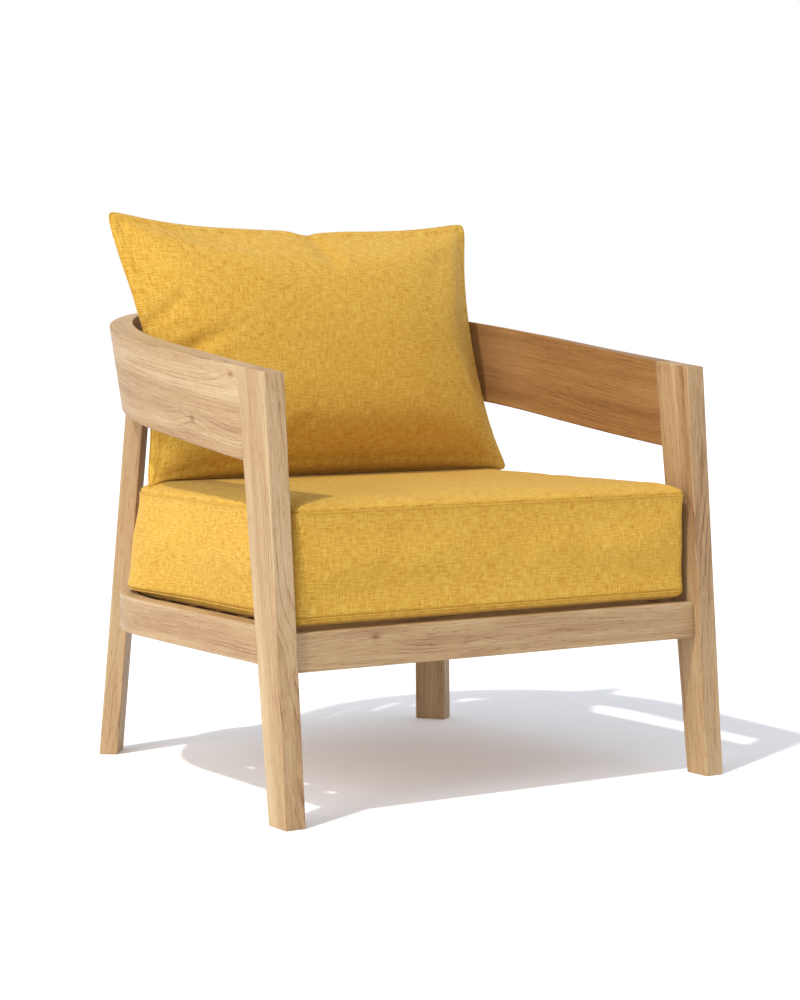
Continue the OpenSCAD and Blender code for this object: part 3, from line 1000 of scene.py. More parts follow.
@dataclass
class ArmBand(Assembly):
    """The curved band: an arm on each side and the crest between them.

    Its outline is straight along the arms and a superellipse at the back. The section is a tall rectangle
    whose top climbs to the rear and which leans outwards more and more until the rear corner.
    """

    height: float = 129.0
    thickness: float = 36.0
    lean: float = 8.2
    rise: float = 97.0
    rise_bend: float = 0.23
    curve_d: float = 400.0
    curve_n: float = 2.2
    lean_end: float = 0.6
    joint: float = 60.0
    straight_rows: int = 14
    bend_rows: int = 56
    bend_grading: float = 1.15
    crest_rows: int = 61
    # Finish of the right arm: a darker teak, in part painted shade for the arm's shaded inner face.
    darker: bpy.types.Material | None = None
    knotty: bpy.types.Material | None = None

    def top_z(self, y: Array | float) -> Array | float:
        """Height of the top edge: a straight climb bent slightly upwards.

        Args:
            y: Depth.

        Returns:
            The height.
        """
        p = self.plan
        start = p.leg_front(p.arm_h)
        share = (y - start) / (p.rear_y - start)
        return p.arm_h + self.rise * ((1 - self.rise_bend) * share + self.rise_bend * share**2)

    @property
    def round_y(self) -> float:
        """Depth at which the rounded rear part begins."""
        return self.plan.rear_y - self.height / 2 * math.sin(math.radians(self.lean)) - self.curve_d

    @property
    def start_y(self) -> float:
        """Depth of the band's front end at mid height."""
        return self.plan.leg_rear(self.plan.arm_h - self.height / 2)

    def ramp(self, y: Array) -> Array:
        """Share of the full lean and thickness, easing out towards the rear corner.

        Args:
            y: Depth.

        Returns:
            The share, from 0 to 1.
        """
        end_y = self.round_y + self.lean_end * self.curve_d
        t = np.clip((y - self.start_y) / (end_y - self.start_y), 0, 1)
        return t * (2 - t)

    def sections(self, outer: Array, normal: Array) -> Array:
        """Four-cornered sections square to the leaning wall.

        Args:
            outer: Points of the outer outline at mid height.
            normal: Outward directions there.

        Returns:
            Sections as outer top, inner top, inner bottom, outer bottom.
        """
        share = self.ramp(outer[:, 1])
        lean = np.radians(self.lean) * share
        thick = self.plan.leg_t + (self.thickness - self.plan.leg_t) * share
        middle = np.concatenate(
            [outer - normal * thick[:, None] / 2, (self.top_z(outer[:, 1]) - self.height / 2)[:, None]], 1
        )
        up = np.column_stack([normal * np.sin(lean)[:, None], np.cos(lean)]) * self.height / 2
        out = np.column_stack([normal * np.cos(lean)[:, None], -np.sin(lean)]) * thick[:, None] / 2
        return np.stack([middle + up + out, middle + up - out, middle - up - out, middle - up + out], 1)

    def outline(self, angle: Array) -> tuple[Array, Array]:
        """Superellipse of the rear part and its outward direction.

        x is the half width times the cosine's power, y is the depth times the sine's power, both 2 / n.

        Args:
            angle: Degrees from the right, 90 at the middle of the back and 180 at the left.

        Returns:
            The points and their outward directions.
        """
        turn = np.radians(angle)
        cos, sin = np.cos(turn), np.sin(turn)
        x_share = np.sign(cos) * np.abs(cos) ** (2 / self.curve_n)
        y_share = np.abs(sin) ** (2 / self.curve_n)
        points = np.column_stack([self.plan.half_w * x_share, self.round_y + self.curve_d * y_share])
        nx = np.sign(x_share) * np.abs(x_share) ** (self.curve_n - 1) / self.plan.half_w
        ny = y_share ** (self.curve_n - 1) / self.curve_d
        normal = np.column_stack([nx, ny])
        return points, normal / np.linalg.norm(normal, axis=1, keepdims=True)

    def front_end(self) -> Array:
        """First section of an arm, cut along the rear edge of the leg.

        Returns:
            One section of four corners.
        """
        p = self.plan
        corners = []
        for x, drop in ((p.half_w, 0.0), (p.leg_in, 0.0), (p.leg_in, self.height), (p.half_w, self.height)):
            y = p.leg_rear(self.top_z(p.leg_rear(p.arm_h)) - drop)
            z = self.top_z(y) - drop
            corners.append([x, p.leg_rear(z), z])
        return np.array([corners])

    def build(self) -> None:
        """Build the two arms and the crest."""
        p = self.plan
        depth = np.linspace(self.start_y, self.round_y, self.straight_rows)[1:-1]
        straight = self.sections(
            np.column_stack([np.full_like(depth, p.half_w), depth]), np.tile([1.0, 0.0], (len(depth), 1))
        )
        bend_angle = self.joint * np.linspace(0, 1, self.bend_rows) ** self.bend_grading
        bend = self.sections(*self.outline(bend_angle))
        arm = np.concatenate([self.front_end(), straight, bend])
        for side, word, cut in (
            (LEFT, "left", Cut(along=-60, across=-58, through=22)),
            (RIGHT, "right", Cut(along=4100, across=-96, through=30)),
        ):
            # The right arm takes the darker teak, in part painted shade.
            board = self.knotty if side == LEFT else self.darker
            self.keep(eased_bar(f"arm_band_{word}", mirrored(arm, side), cut), f"arm_{word}", board)
        crest = self.sections(*self.outline(np.linspace(self.joint, 180 - self.joint, self.crest_rows)))
        crest_cut = Cut(along=6200, across=-40, through=48)
        self.keep(eased_bar("arm_band_crest", crest, crest_cut), "back_crest")


@dataclass
class SeatFrame(Assembly):
    """The four rails under the seat cushion: straight in front, bent round the rear corners."""

    front_top: float = 263.0
    recess: float = 12.0
    behind_leg: float = 40.0
    straight_rows: int = 5
    bend_rows: int = 28
    back_rows: int = 20
    knotty: bpy.types.Material | None = None

    def wall(self, path: Array, normal: Array, top: float) -> Array:
        """Upright sections of a rail.

        Args:
            path: Points of the outer face's line.
            normal: Outward directions there.
            top: Height of the top face.

        Returns:
            Sections as outer top, inner top, inner bottom, outer bottom.
        """
        p = self.plan
        inner = path - normal * p.rail_t
        rows = [(path, top), (inner, top), (inner, top - p.rail_h), (path, top - p.rail_h)]
        return np.stack([np.column_stack([xy, np.full(len(xy), z)]) for xy, z in rows], 1)

    def arc(self, centre: Array, radius: float, start: float, end: float, count: int) -> tuple[Array, Array]:
        """Part of a circle.

        Args:
            centre: Its centre.
            radius: Its radius.
            start: First angle in radians.
            end: Last angle in radians.
            count: Number of points.

        Returns:
            The points and their outward directions.
        """
        turn = np.linspace(start, end, count)
        normal = np.column_stack([np.cos(turn), np.sin(turn)])
        return centre + radius * normal, normal

    def front(self) -> Array:
        """The front rail's two ends, on the inner faces of the front legs.

        Returns:
            Two sections as front top, rear top, rear bottom, front bottom.
        """
        p = self.plan
        low, high = self.front_top - p.rail_h, self.front_top
        y_low, y_high = (p.leg_front(z) + self.recess for z in (low, high))
        return np.array([
            [[x, y_high, high], [x, y_high + p.rail_t, high], [x, y_low + p.rail_t, low], [x, y_low, low]]
            for x in (-p.leg_in, p.leg_in)
        ])

    def side(self) -> Array:
        """The right side rail: cut along the front leg, straight, bent and straight again.

        Returns:
            Sections from front to rear.
        """
        p = self.plan
        bottom = p.rail_top - p.rail_h
        inner_x = p.half_w - p.rail_t
        top = p.rail_top
        section = ((p.half_w, top), (inner_x, top), (inner_x, bottom), (p.half_w, bottom))
        start = np.array([[[x, p.leg_rear(z), z] for x, z in section]])
        depth = np.linspace(p.leg_rear(p.rail_top) + self.behind_leg, p.bend_y, self.straight_rows)[:-1]
        line = np.column_stack([np.full_like(depth, p.half_w), depth])
        straight = self.wall(line, np.tile([1.0, 0.0], (len(depth), 1)), p.rail_top)
        centre = np.array([p.bend_x, p.bend_y])
        bend = self.wall(*self.arc(centre, p.bend_r, 0, p.corner, self.bend_rows), p.rail_top)
        along = np.array([-math.sin(p.corner), math.cos(p.corner), 0])
        return np.concatenate([start, straight, bend, bend[-1:] + along * p.diagonal])

    def build(self) -> None:
        """Build the front rail, both side rails and the back rail."""
        p = self.plan
        front_cut = Cut(along=800, across=-30, through=60)
        self.keep(eased_bar("rail_front", self.front(), front_cut), "front_rail", self.knotty)
        side_rail = self.side()
        for side, word, cut in (
            (LEFT, "left", Cut(along=1500, across=-24, through=58)),
            (RIGHT, "right", Cut(along=5200, across=-24, through=66)),
        ):
            self.keep(eased_bar(f"rail_side_{word}", mirrored(side_rail, side), cut), f"side_rail_{word}")
        arc = self.arc(p.back_centre, p.back_r, p.corner, math.pi / 2, self.back_rows)
        right = self.wall(*arc, p.rail_top)
        back = np.concatenate([right, mirrored(right, LEFT)[::-1]])
        back_cut = Cut(along=7000, across=-30, through=62)
        self.keep(eased_bar("rail_back", back, back_cut), "back_rail")


@dataclass
class SeatDeck(Assembly):
    """The slats that carry the seat cushion and the ledges they lie on."""

    gap: float = 1.0

    def build(self, beech: bpy.types.Material) -> None:
        """Build the slats, each cut to the rails' inner outline less a gap, and dress the ledges.

        Args:
            beech: Finish of the ledges.
        """
        p = self.plan
        nodes = sorted(n for n in cad_nodes() if n.startswith("seat_slat_"))
        for number, node in enumerate(nodes):
            low, high = box_of(node)
            inset = p.rail_t + self.gap
            near, far = p.inside_x(low[1], inset), p.inside_x(high[1], inset)
            right = np.array([
                [near, low[1], high[2]], [near, low[1], low[2]], [far, high[1], low[2]],
                [far, high[1], high[2]],
            ])
            ends = np.stack([mirrored(right, LEFT), right])
            cut = Cut(along=730 * number, across=-20 - 7 * number, through=40 + 9 * (number % 3))
            self.keep(eased_bar(f"deck_slat_{number + 1}", ends, cut), node)
        for node in ("seat_cleat_left", "seat_cleat_right"):
            dress(cad_nodes()[node], beech)
            log.info("%s: dressed as packed", node)


@dataclass
class BackSlats(Assembly):
    """The uprights behind the back cushion, from the back rail up into the crest."""

    width: float = 44.0
    thickness: float = 14.0
    spacing: float = 74.0
    sink: float = 6.0
    count: int = 5

    def build(self, band: ArmBand) -> None:
        """Build the uprights, each a straight board from the back rail to the superellipse of the band.

        Args:
            band: The arm band, whose lower edge they run up to.
        """
        p = self.plan
        back_face = p.back_centre[1] + p.back_r
        lean = math.radians(band.lean)
        half_h = band.height / 2
        across = np.array([1.0, 0, 0])
        for number in range(self.count):
            x = (number - (self.count - 1) / 2) * self.spacing
            share = abs(x) / (p.half_w - band.thickness / 2)
            depth = (1 - share**band.curve_n) ** (1 / band.curve_n)
            y = band.round_y + (band.curve_d - band.thickness / 2) * depth
            foot = np.array([x, back_face - p.rail_t / 2, p.rail_top])
            under = band.top_z(y) - half_h * (1 + math.cos(lean))
            head = np.array([x, y - half_h * math.sin(lean), under])
            along = (head - foot) / np.linalg.norm(head - foot)
            through = np.cross(along, across)
            corners = [
                [end + across * self.width / 2 * i + through * self.thickness / 2 * j
                 for i, j in ((1, 1), (1, -1), (-1, -1), (-1, 1))]
                for end in (foot - along * self.sink, head + along * self.sink)
            ]
            cut = Cut(along=510 * number, across=-22 + 5 * number, through=44 + 6 * number)
            upright = eased_bar(f"back_upright_{number + 1}", np.array(corners), cut)
            self.keep(upright, f"back_slat_{number + 1}")


# ---------------------------------------------------------------------------
# Cushions
# ---------------------------------------------------------------------------


UP = np.array([0.0, 0.0, 1.0])
DEPTH = np.array([0.0, 1.0, 0.0])
STEEP = 0.9
# Points of the cushion's own frame this near to its middle plane are on its edge.
SEAM_MM = 0.01
# Weave round a welt, in millimetres per point of its circle.
BIAS_MM = 1.5
# Fine first and last steps of a panel's grid, as shares of its side.
HEM = np.array([0.003, 0.007, 0.012, 0.018, 0.026, 0.036])
CREASED_HEM = np.array([0.003, 0.0065, 0.0105, 0.0145, 0.019, 0.026, 0.037])
# Where the second panel's cloth was cut, in millimetres, so that the two panels' patterns differ.
SEAT_UNDERSIDE_CUT = (900, 400)
BACK_REAR_CUT = (1500, 700)


@dataclass(frozen=True)
class Swell:
    """How a sewn shell is blown up: cloth under inner pressure, each point's move softly limited."""

    pressure: float
    limit_mm: float
    frames: int = 20
    quality: int = 5
    mass: float = 0.3
    tension: float = 15.0
    bending: float = 0.6
    seam_give: float = 0.12
    seam_reach: float = 45.0


def cloth_swell(piece: bpy.types.Object, swell: Swell, seam_far: Array) -> None:
    """Let a closed shell find its padded shape by cloth simulation, and write the result into its mesh.

    Each point's move d is shortened to limit times tanh(d / limit), and to less beside the seams, whose
    folded layers are too stiff to give.

    Args:
        piece: The closed shell.
        swell: Pressure, limit and stiffness.
        seam_far: Distance of each point to the nearest seam, in millimetres.
    """
    scene = bpy.context.scene
    rest = mesh_points(piece)
    cloth = piece.modifiers.new("swell", "CLOTH")
    settings = cloth.settings
    settings.quality = swell.quality
    settings.mass = swell.mass
    settings.tension_stiffness = swell.tension
    settings.compression_stiffness = swell.tension
    settings.shear_stiffness = swell.tension / 3
    settings.bending_stiffness = swell.bending
    settings.use_pressure = True
    settings.uniform_pressure_force = swell.pressure
    settings.effector_weights.gravity = 0.0
    cloth.collision_settings.use_collision = False
    cloth.point_cache.frame_end = swell.frames
    for frame_number in range(1, swell.frames + 1):
        scene.frame_set(frame_number)
    shown = piece.evaluated_get(bpy.context.evaluated_depsgraph_get())
    moved = np.empty(len(rest) * 3, np.float32)
    shown.data.vertices.foreach_get("co", moved)
    move = moved.reshape(-1, 3) - rest
    size = np.linalg.norm(move, axis=1, keepdims=True)
    limit = swell.limit_mm * MM
    move *= np.where(size > TINY, limit * np.tanh(size / limit) / np.maximum(size, TINY), 0)
    give = np.clip(seam_far / swell.seam_reach, 0, 1)
    move *= (swell.seam_give + (1 - swell.seam_give) * give * (2 - give))[:, None]
    piece.modifiers.clear()
    scene.frame_set(1)
    set_points(piece, rest + move)


def subdivide(piece: bpy.types.Object) -> None:
    """Replace the mesh by its Catmull-Clark subdivision, whose first points are the old ones, smoothed.

    Args:
        piece: The object.
    """
    smooth = piece.modifiers.new("smooth", "SUBSURF")
    smooth.levels = 1
    smooth.render_levels = 1
    shown = piece.evaluated_get(bpy.context.evaluated_depsgraph_get())
    mesh = bpy.data.meshes.new_from_object(shown)
    piece.modifiers.clear()
    old = piece.data
    piece.data = mesh
    bpy.data.meshes.remove(old)
    mesh.name = piece.name
    mesh.shade_smooth()


def graded(count: int, edge: Array) -> Array:
    """Shares from 0 to 1 whose first and last steps are fine.

    Args:
        count: Number of even steps between the fine ones.
        edge: The fine shares after 0, rising.

    Returns:
        0, the fine shares, even shares, the fine shares mirrored and 1.
    """
    middle = np.linspace(edge[-1], 1 - edge[-1], count + 1)
    return np.concatenate([[0.0], edge[:-1], middle, 1 - edge[:-1][::-1], [1.0]])


def bumps(points: Array, seed: int, wave: float, count: int = 24) -> Array:
    """Smooth random hills over 3-D points: a mean of sines in random directions.

    Args:
        points: Points in millimetres.
        seed: Seed of the random directions.
        wave: Typical wavelength in millimetres.
        count: Number of sines.

    Returns:
        Values with a spread of about 1.
    """
    random = np.random.default_rng(seed)
    direction = random.normal(size=(count, 3))
    direction /= np.linalg.norm(direction, axis=1, keepdims=True)
    turn = 2 * math.pi / (wave * random.uniform(0.6, 1.6, count))
    phase = random.uniform(0, 2 * math.pi, count)
    return np.sin(points @ (direction * turn[:, None]).T + phase).sum(1) * math.sqrt(2 / count)


def seam_tube(name: str, path: Array, radius: float, around: int = 8) -> bpy.types.Object:
    """A thin welt along a closed line of points.

    A circle of the given radius is carried along the path, square to it. The weave is stretched a little
    round it, as cloth cut on the bias is.

    Args:
        name: The piece's name.
        path: Points in millimetres, the last one step before the first.
        radius: Radius in millimetres.
        around: Points round the circle.

    Returns:
        The piece, with its weave map running along it.
    """
    count = len(path)
    ahead = np.roll(path, -1, 0) - np.roll(path, 1, 0)
    ahead /= np.linalg.norm(ahead, axis=1, keepdims=True)
    # A steep stretch is measured from the depth axis, because the upright one is too close to it.
    steep = np.abs(ahead[:, 2:]) > STEEP
    side = np.cross(ahead, np.where(steep, DEPTH, UP))
    side /= np.linalg.norm(side, axis=1, keepdims=True)
    over = np.cross(side, ahead)
    turn = np.linspace(0, 2 * math.pi, around, endpoint=False)[None, :, None]
    rings = path[:, None] + radius * (np.cos(turn) * side[:, None] + np.sin(turn) * over[:, None])
    quads = grid_quads(count + 1, around, True) % (count * around)
    piece = mesh_object(name, rings.reshape(-1, 3) * MM, quads)
    loops = loops_of(piece)
    place = run_along(path)[loops // around]
    place_weave(piece, np.column_stack([place, loops % around * BIAS_MM]) * MM)
    return piece


@dataclass
class Cushion:
    """What both cushions share: their cloth, their thread, their body and their material slot."""

    fabric: bpy.types.Material
    thread: bpy.types.Material
    body: str
    slot: str = "cushion_fabric"

    def finish(
        self, piece: bpy.types.Object, material: bpy.types.Material, fill: float | None = None
    ) -> None:
        """Dress a piece of the cushion and tie it to its body.

        Args:
            piece: The finished piece.
            material: Its material.
            fill: How full it is, for a padded piece. Not used.
        """
        dress(piece, material)
        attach(piece, self.body)
        log.info("%s: %d faces, on %s", piece.name, len(piece.data.polygons), self.body)


def nearest(points: Array, rim: Array) -> Array:
    """Distance of each point to the closed line through the rim's points.

    The least distance to any of the line's straight pieces, each clamped to its ends.

    Args:
        points: Points in the plane.
        rim: Points of the line.

    Returns:
        One distance per point.
    """
    best = np.full(len(points), np.inf)
    for a, b in zip(rim, np.roll(rim, -1, 0)):
        d = b - a
        share = np.clip((points - a) @ d / max(float(d @ d), TINY), 0, 1)
        best = np.minimum(best, np.linalg.norm(points - a - share[:, None] * d, axis=1))
    return best


def shoulder_rise(away: Array, width: float) -> Array:
    """Height of a quarter ellipse, from 0 at the seam to 1 at its width and beyond."""
    return np.sqrt(np.clip(1 - (1 - np.clip(away / width, 0, 1)) ** 2, 0, 1))


def dense_loop(line: Array, step: float) -> Array:
    """Resample a closed line at even steps.

    Args:
        line: Its points, the last one step before the first.
        step: Distance between the new points.

    Returns:
        The new points.
    """
    closed = np.concatenate([line, line[:1]])
    place = run_along(closed)
    stops = np.linspace(0, place[-1], int(place[-1] / step), endpoint=False)
    return np.column_stack([np.interp(stops, place, closed[:, i]) for i in range(3)])


def stitches(name: str, centres: Array, length: float, radius: float) -> bpy.types.Object:
    """A row of short threads, each a six-sided spindle along the line.

    Two rings of six points stand a third of the length either side of the middle, and a tip closes each end.

    Args:
        name: The piece's name.
        centres: Middle of each stitch, evenly spaced on a closed line, in millimetres.
        length: Length of a stitch.
        radius: Radius of the thread.

    Returns:
        The piece.
    """
    around, ring_at = 6, 0.32
    count = len(centres)
    ahead = np.roll(centres, -1, 0) - np.roll(centres, 1, 0)
    ahead /= np.linalg.norm(ahead, axis=1, keepdims=True)
    side = np.cross(ahead, UP)
    side /= np.linalg.norm(side, axis=1, keepdims=True)
    over = np.cross(side, ahead)
    turn = np.linspace(0, 2 * math.pi, around, endpoint=False)[None, :, None]
    ring = (np.cos(turn) * side[:, None] + np.sin(turn) * over[:, None]) * radius
    rings = np.concatenate(
        [centres[:, None] + ahead[:, None] * length * at + ring for at in (-ring_at, ring_at)], 1
    )
    tips = np.stack([centres - ahead * length / 2, centres + ahead * length / 2], 1)
    points = np.concatenate([rings, tips], 1)
    base = np.arange(count)[:, None, None] * points.shape[1]
    quads = (grid_quads(2, around, True)[None] + base).reshape(-1, 4)
    triangles = (caps(2 * around, around)[None] + base).reshape(-1, 3)
    piece = mesh_object(name, points.reshape(-1, 3) * MM, quads, triangles)
    place_weave(piece, mesh_points(piece)[loops_of(piece)][:, [0, 2]])
    return piece


@dataclass(frozen=True)
class Boxing:
    """The seat cushion's shell as whole arrays, with the places of its parts among its points.

    The points come as the top panel, the boxing's levels from the top, the bottom rim and the bottom panel
    inside it.
    """

    points: Array
    flat: Array
    panel_quads: Indices
    side_quads: Indices
    border: Indices
    inner: Indices
    low_index: Indices
    low_rim: slice
    normal: Array
    away: Array
    rim: Array
    drop: Array


@dataclass
class SeatCushion(Cushion):
    """The boxed seat cushion: a top and a bottom panel sewn to an upright boxing strip.

    The top seam is topstitched, so a shallow groove runs along the boxing just below it.
    """

    body: str = "seat_cushion"
    top_seam: float = 427.0
    bottom_seam: float = 282.0
    shoulder: float = 34.0
    under: float = 23.0
    under_gap: float = 0.6
    crown: float = 2.5
    crown_reach: float = 260.0
    sag: float = 0.5
    sag_seed: int = 5
    sag_wave: float = 260.0
    sag_reach: float = 90.0
    corner_r: float = 100.0
    corner_y: float = 103.5
    rear_r: float = 90.0
    front_r: float = 13.0
    arc_points: int = 40
    columns: int = 74
    rows: int = 70
    levels: int = 12
    level_from: float = 34.0
    stitch_drop: float = 3.4
    groove: float = 3.2
    bulge: float = 2.5
    spread: float = 13.0
    spread_power: float = 1.2
    spread_from: tuple[float, float] = (120.0, -60.0)
    spread_over: tuple[float, float] = (100.0, 160.0)
    draw_in: float = 0.024
    draw_in_from: float = -100.0
    draw_in_over: float = 300.0
    least_gap: float = 0.3
    most_over: float = 0.8
    welt: float = 1.1
    welt_out: float = 1.7
    welt_step: float = 4.0
    stitch_pitch: float = 5.5
    stitch_length: float = 3.4
    thread_r: float = 0.5
    swell: Swell = Swell(pressure=3.0, limit_mm=5.0)

    def arc(self, x: float, y: float, radius: float, start: float, end: float) -> Array:
        """Points on a circle round (x, y), from angle start to angle end, in radians."""
        turn = np.linspace(start, end, self.arc_points)
        return np.column_stack([x + radius * np.cos(turn), y + radius * np.sin(turn)])

    def outline(self, low: Array, high: Array, corner: float) -> Array:
        """Plan of the cushion as a dense closed line, anticlockwise from the middle of the front edge.

        Straight front and sides, tight round front corners, then an arc, a slanted straight and a second arc
        that follow the seat frame to the straight rear edge.

        Args:
            low: Lowest corner of the cushion's box.
            high: Highest corner.
            corner: Heading of the slanted part.

        Returns:
            Points in millimetres, left half mirrored from the right.
        """
        half = high[0]
        side_x = half - self.corner_r
        reach = side_x * math.cos(corner) + self.corner_y * math.sin(corner) + self.corner_r
        rear_y = high[1] - self.rear_r
        rear_x = (reach - self.rear_r - rear_y * math.sin(corner)) / math.cos(corner)
        right = np.concatenate([
            [[0.0, low[1]]],
            self.arc(half - self.front_r, low[1] + self.front_r, self.front_r, -math.pi / 2, 0),
            self.arc(side_x, self.corner_y, self.corner_r, 0, corner),
            self.arc(rear_x, rear_y, self.rear_r, corner, math.pi / 2),
            [[0.0, high[1]]],
        ])
        left = right[::-1][1:-1] * [-1, 1]
        return np.concatenate([right, left])

    def panel(self, line: Array) -> Array:
        """Grid that fills the plan: a Coons patch between four stretches of the outline.

        The patch is the blend of opposite sides less the bilinear blend of the corners. Its front corners
        are the middles of the front arcs, and its rear corners are where the rear arcs begin.

        Args:
            line: The closed outline.

        Returns:
            The points as rows from the front.
        """
        closed = np.concatenate([line, line[:1]])
        place = run_along(closed)
        total = place[-1]

        def at(distance: Array) -> Array:
            """Points of the outline at distances along it."""
            wrapped = np.mod(distance, total)
            return np.column_stack([np.interp(wrapped, place, closed[:, i]) for i in range(2)])

        numbers = np.arange(len(place))
        front = float(np.interp((self.arc_points + 1) / 2, numbers, place))
        rear_arc = 2 * self.arc_points + 1
        rear = (place[rear_arc] + place[rear_arc + 1]) / 2
        s = graded(self.columns, HEM)
        t = graded(self.rows, HEM)
        bottom = at(-front + 2 * front * s)
        right = at(front + (rear - front) * t)
        top = at(total - rear + (2 * rear - total) * s)
        left = at(total - front - (rear - front) * t)
        ss, tt = s[None, :, None], t[:, None, None]
        sides = (1 - tt) * bottom[None] + tt * top[None] + (1 - ss) * left[:, None] + ss * right[:, None]
        corners = ((1 - ss) * (1 - tt) * bottom[0] + ss * (1 - tt) * bottom[-1]
                   + (1 - ss) * tt * top[0] + ss * tt * top[-1])
        return sides - corners

    def shell(self, low: Array, high: Array, corner: float) -> Boxing:
        """Work out the closed shell before it is blown up.

        The top panel rises from the seam over a quarter ellipse of the shoulder's width and then domes
        gently to the middle. The bottom panel is its flatter mirror image. The boxing bulges by a half sine,
        and spreads at the rear corners by a power of the drop, where the filling settles.

        Args:
            low: Lowest corner of the cushion's box.
            high: Highest corner.
            corner: Heading of the slanted part.

        Returns:
            The shell.
        """
        patch = self.panel(self.outline(low, high, corner))
        rows, columns = patch.shape[:2]
        flat = patch.reshape(-1, 2)
        border = rim_of(rows, columns)
        inner = np.setdiff1d(np.arange(len(flat)), border)
        rim = flat[border]
        around = len(rim)
        away = nearest(flat, rim)
        dome = np.clip(away / self.crown_reach, 0, 1)
        sag = bumps(np.column_stack([flat, np.zeros(len(flat))]), self.sag_seed, self.sag_wave)
        sag = sag * np.clip(away / self.sag_reach, 0, 1)
        top_z = (self.top_seam + (high[2] - self.top_seam - self.crown) * shoulder_rise(away, self.shoulder)
                 + self.crown * (dome * (2 - dome)) + self.sag * sag)
        depth = self.bottom_seam - low[2] - self.under_gap
        bottom_z = self.bottom_seam - depth * shoulder_rise(away, self.under)

        height = self.top_seam - self.bottom_seam
        # The boxing's levels are close together beside both seams, where the cloth turns.
        fine = np.array([1.6, self.stitch_drop, 5.4, 7.6, 10.2, 13.6, 17.4, 21.6, 26.0])
        even = np.linspace(self.level_from, height - fine[-1], self.levels)
        drop = np.concatenate([fine, even, height - fine[[7, 6, 4, 2, 0]]])
        ahead = np.roll(rim, -1, 0) - np.roll(rim, 1, 0)
        normal = np.column_stack([ahead[:, 1], -ahead[:, 0]])
        normal /= np.linalg.norm(normal, axis=1, keepdims=True)
        out = self.bulge * np.sin(math.pi * drop / height)
        settle = self.spread * (drop / height) ** self.spread_power
        # Only the rear corners spread: the share grows to the rear and to the sides.
        far_x, far_y = self.spread_from
        over_x, over_y = self.spread_over
        backward = np.clip((rim[:, 1] - far_y) / over_y, 0, 1)
        rear = backward * np.clip((np.abs(rim[:, 0]) - far_x) / over_x, 0, 1)
        boxing = rim[None] + normal[None] * (out[:, None] + settle[:, None] * rear[None])[:, :, None]
        level_z = np.broadcast_to((self.top_seam - drop)[:, None, None], (len(drop), around, 1))
        walls = np.concatenate([boxing, level_z], 2).reshape(-1, 3)
        spread_rim = rim + normal * (self.spread * rear)[:, None]
        points = np.concatenate([
            np.column_stack([flat, top_z]), walls, np.column_stack([spread_rim, bottom_z[border]]),
            np.column_stack([flat[inner], bottom_z[inner]])])
        # The seam of the top panel draws the rear corners in a little.
        rearward = np.clip((points[:, 1] - self.draw_in_from) / self.draw_in_over, 0, 1)
        upward = np.clip((points[:, 2] - self.top_seam + height / 2) / (height / 2), 0, 1)
        points[:, :2] *= (1 - self.draw_in * rearward * upward)[:, None]

        low_rim = len(flat) + len(walls)
        low_index = np.empty(len(flat), int)
        low_index[border] = low_rim + np.arange(around)
        low_index[inner] = low_rim + around + np.arange(len(inner))
        top_quads = grid_quads(rows, columns, False)
        below = np.arange(len(flat), low_rim + around).reshape(-1, around)
        levels = np.concatenate([border[None], below])
        after = np.roll(levels, -1, 1)
        sides = np.stack([levels[:-1], levels[1:], after[1:], after[:-1]], 2).reshape(-1, 4)
        return Boxing(
            points=points, flat=flat, panel_quads=np.concatenate([top_quads, low_index[top_quads][:, ::-1]]),
            side_quads=sides, border=border, inner=inner, low_index=low_index,
            low_rim=slice(low_rim, low_rim + around), normal=normal, away=away, rim=rim, drop=drop)

    def weave(self, piece: bpy.types.Object, shell: Boxing) -> None:
        """Lay the cloth's map: each panel flat, and the boxing strip by its run round the rim and its drop.

        Args:
            piece: The shell's object.
            shell: The shell.
        """
        height = self.top_seam - self.bottom_seam
        run = run_along(np.concatenate([shell.rim, shell.rim[:1]]))
        down = -np.concatenate([[0.0], shell.drop, [height]])
        across, fall = np.meshgrid(run, down)
        strip = np.stack([across, fall], 2)
        side_uv = np.stack([strip[:-1, :-1], strip[1:, :-1], strip[1:, 1:], strip[:-1, 1:]], 2)
        ordered = loops_of(piece)
        sheet = np.zeros((len(shell.points), 2))
        sheet[: len(shell.flat)] = shell.flat
        sheet[shell.low_index] = shell.flat + SEAT_UNDERSIDE_CUT
        uv = sheet[ordered].reshape(-1, 4, 2)
        flipped = ordered[0] != shell.panel_quads[0, 0]
        side_uv = side_uv.reshape(-1, 4, 2)
        uv[len(shell.panel_quads):] = side_uv[:, ::-1] if flipped else side_uv
        place_weave(piece, uv.reshape(-1, 2) * MM)

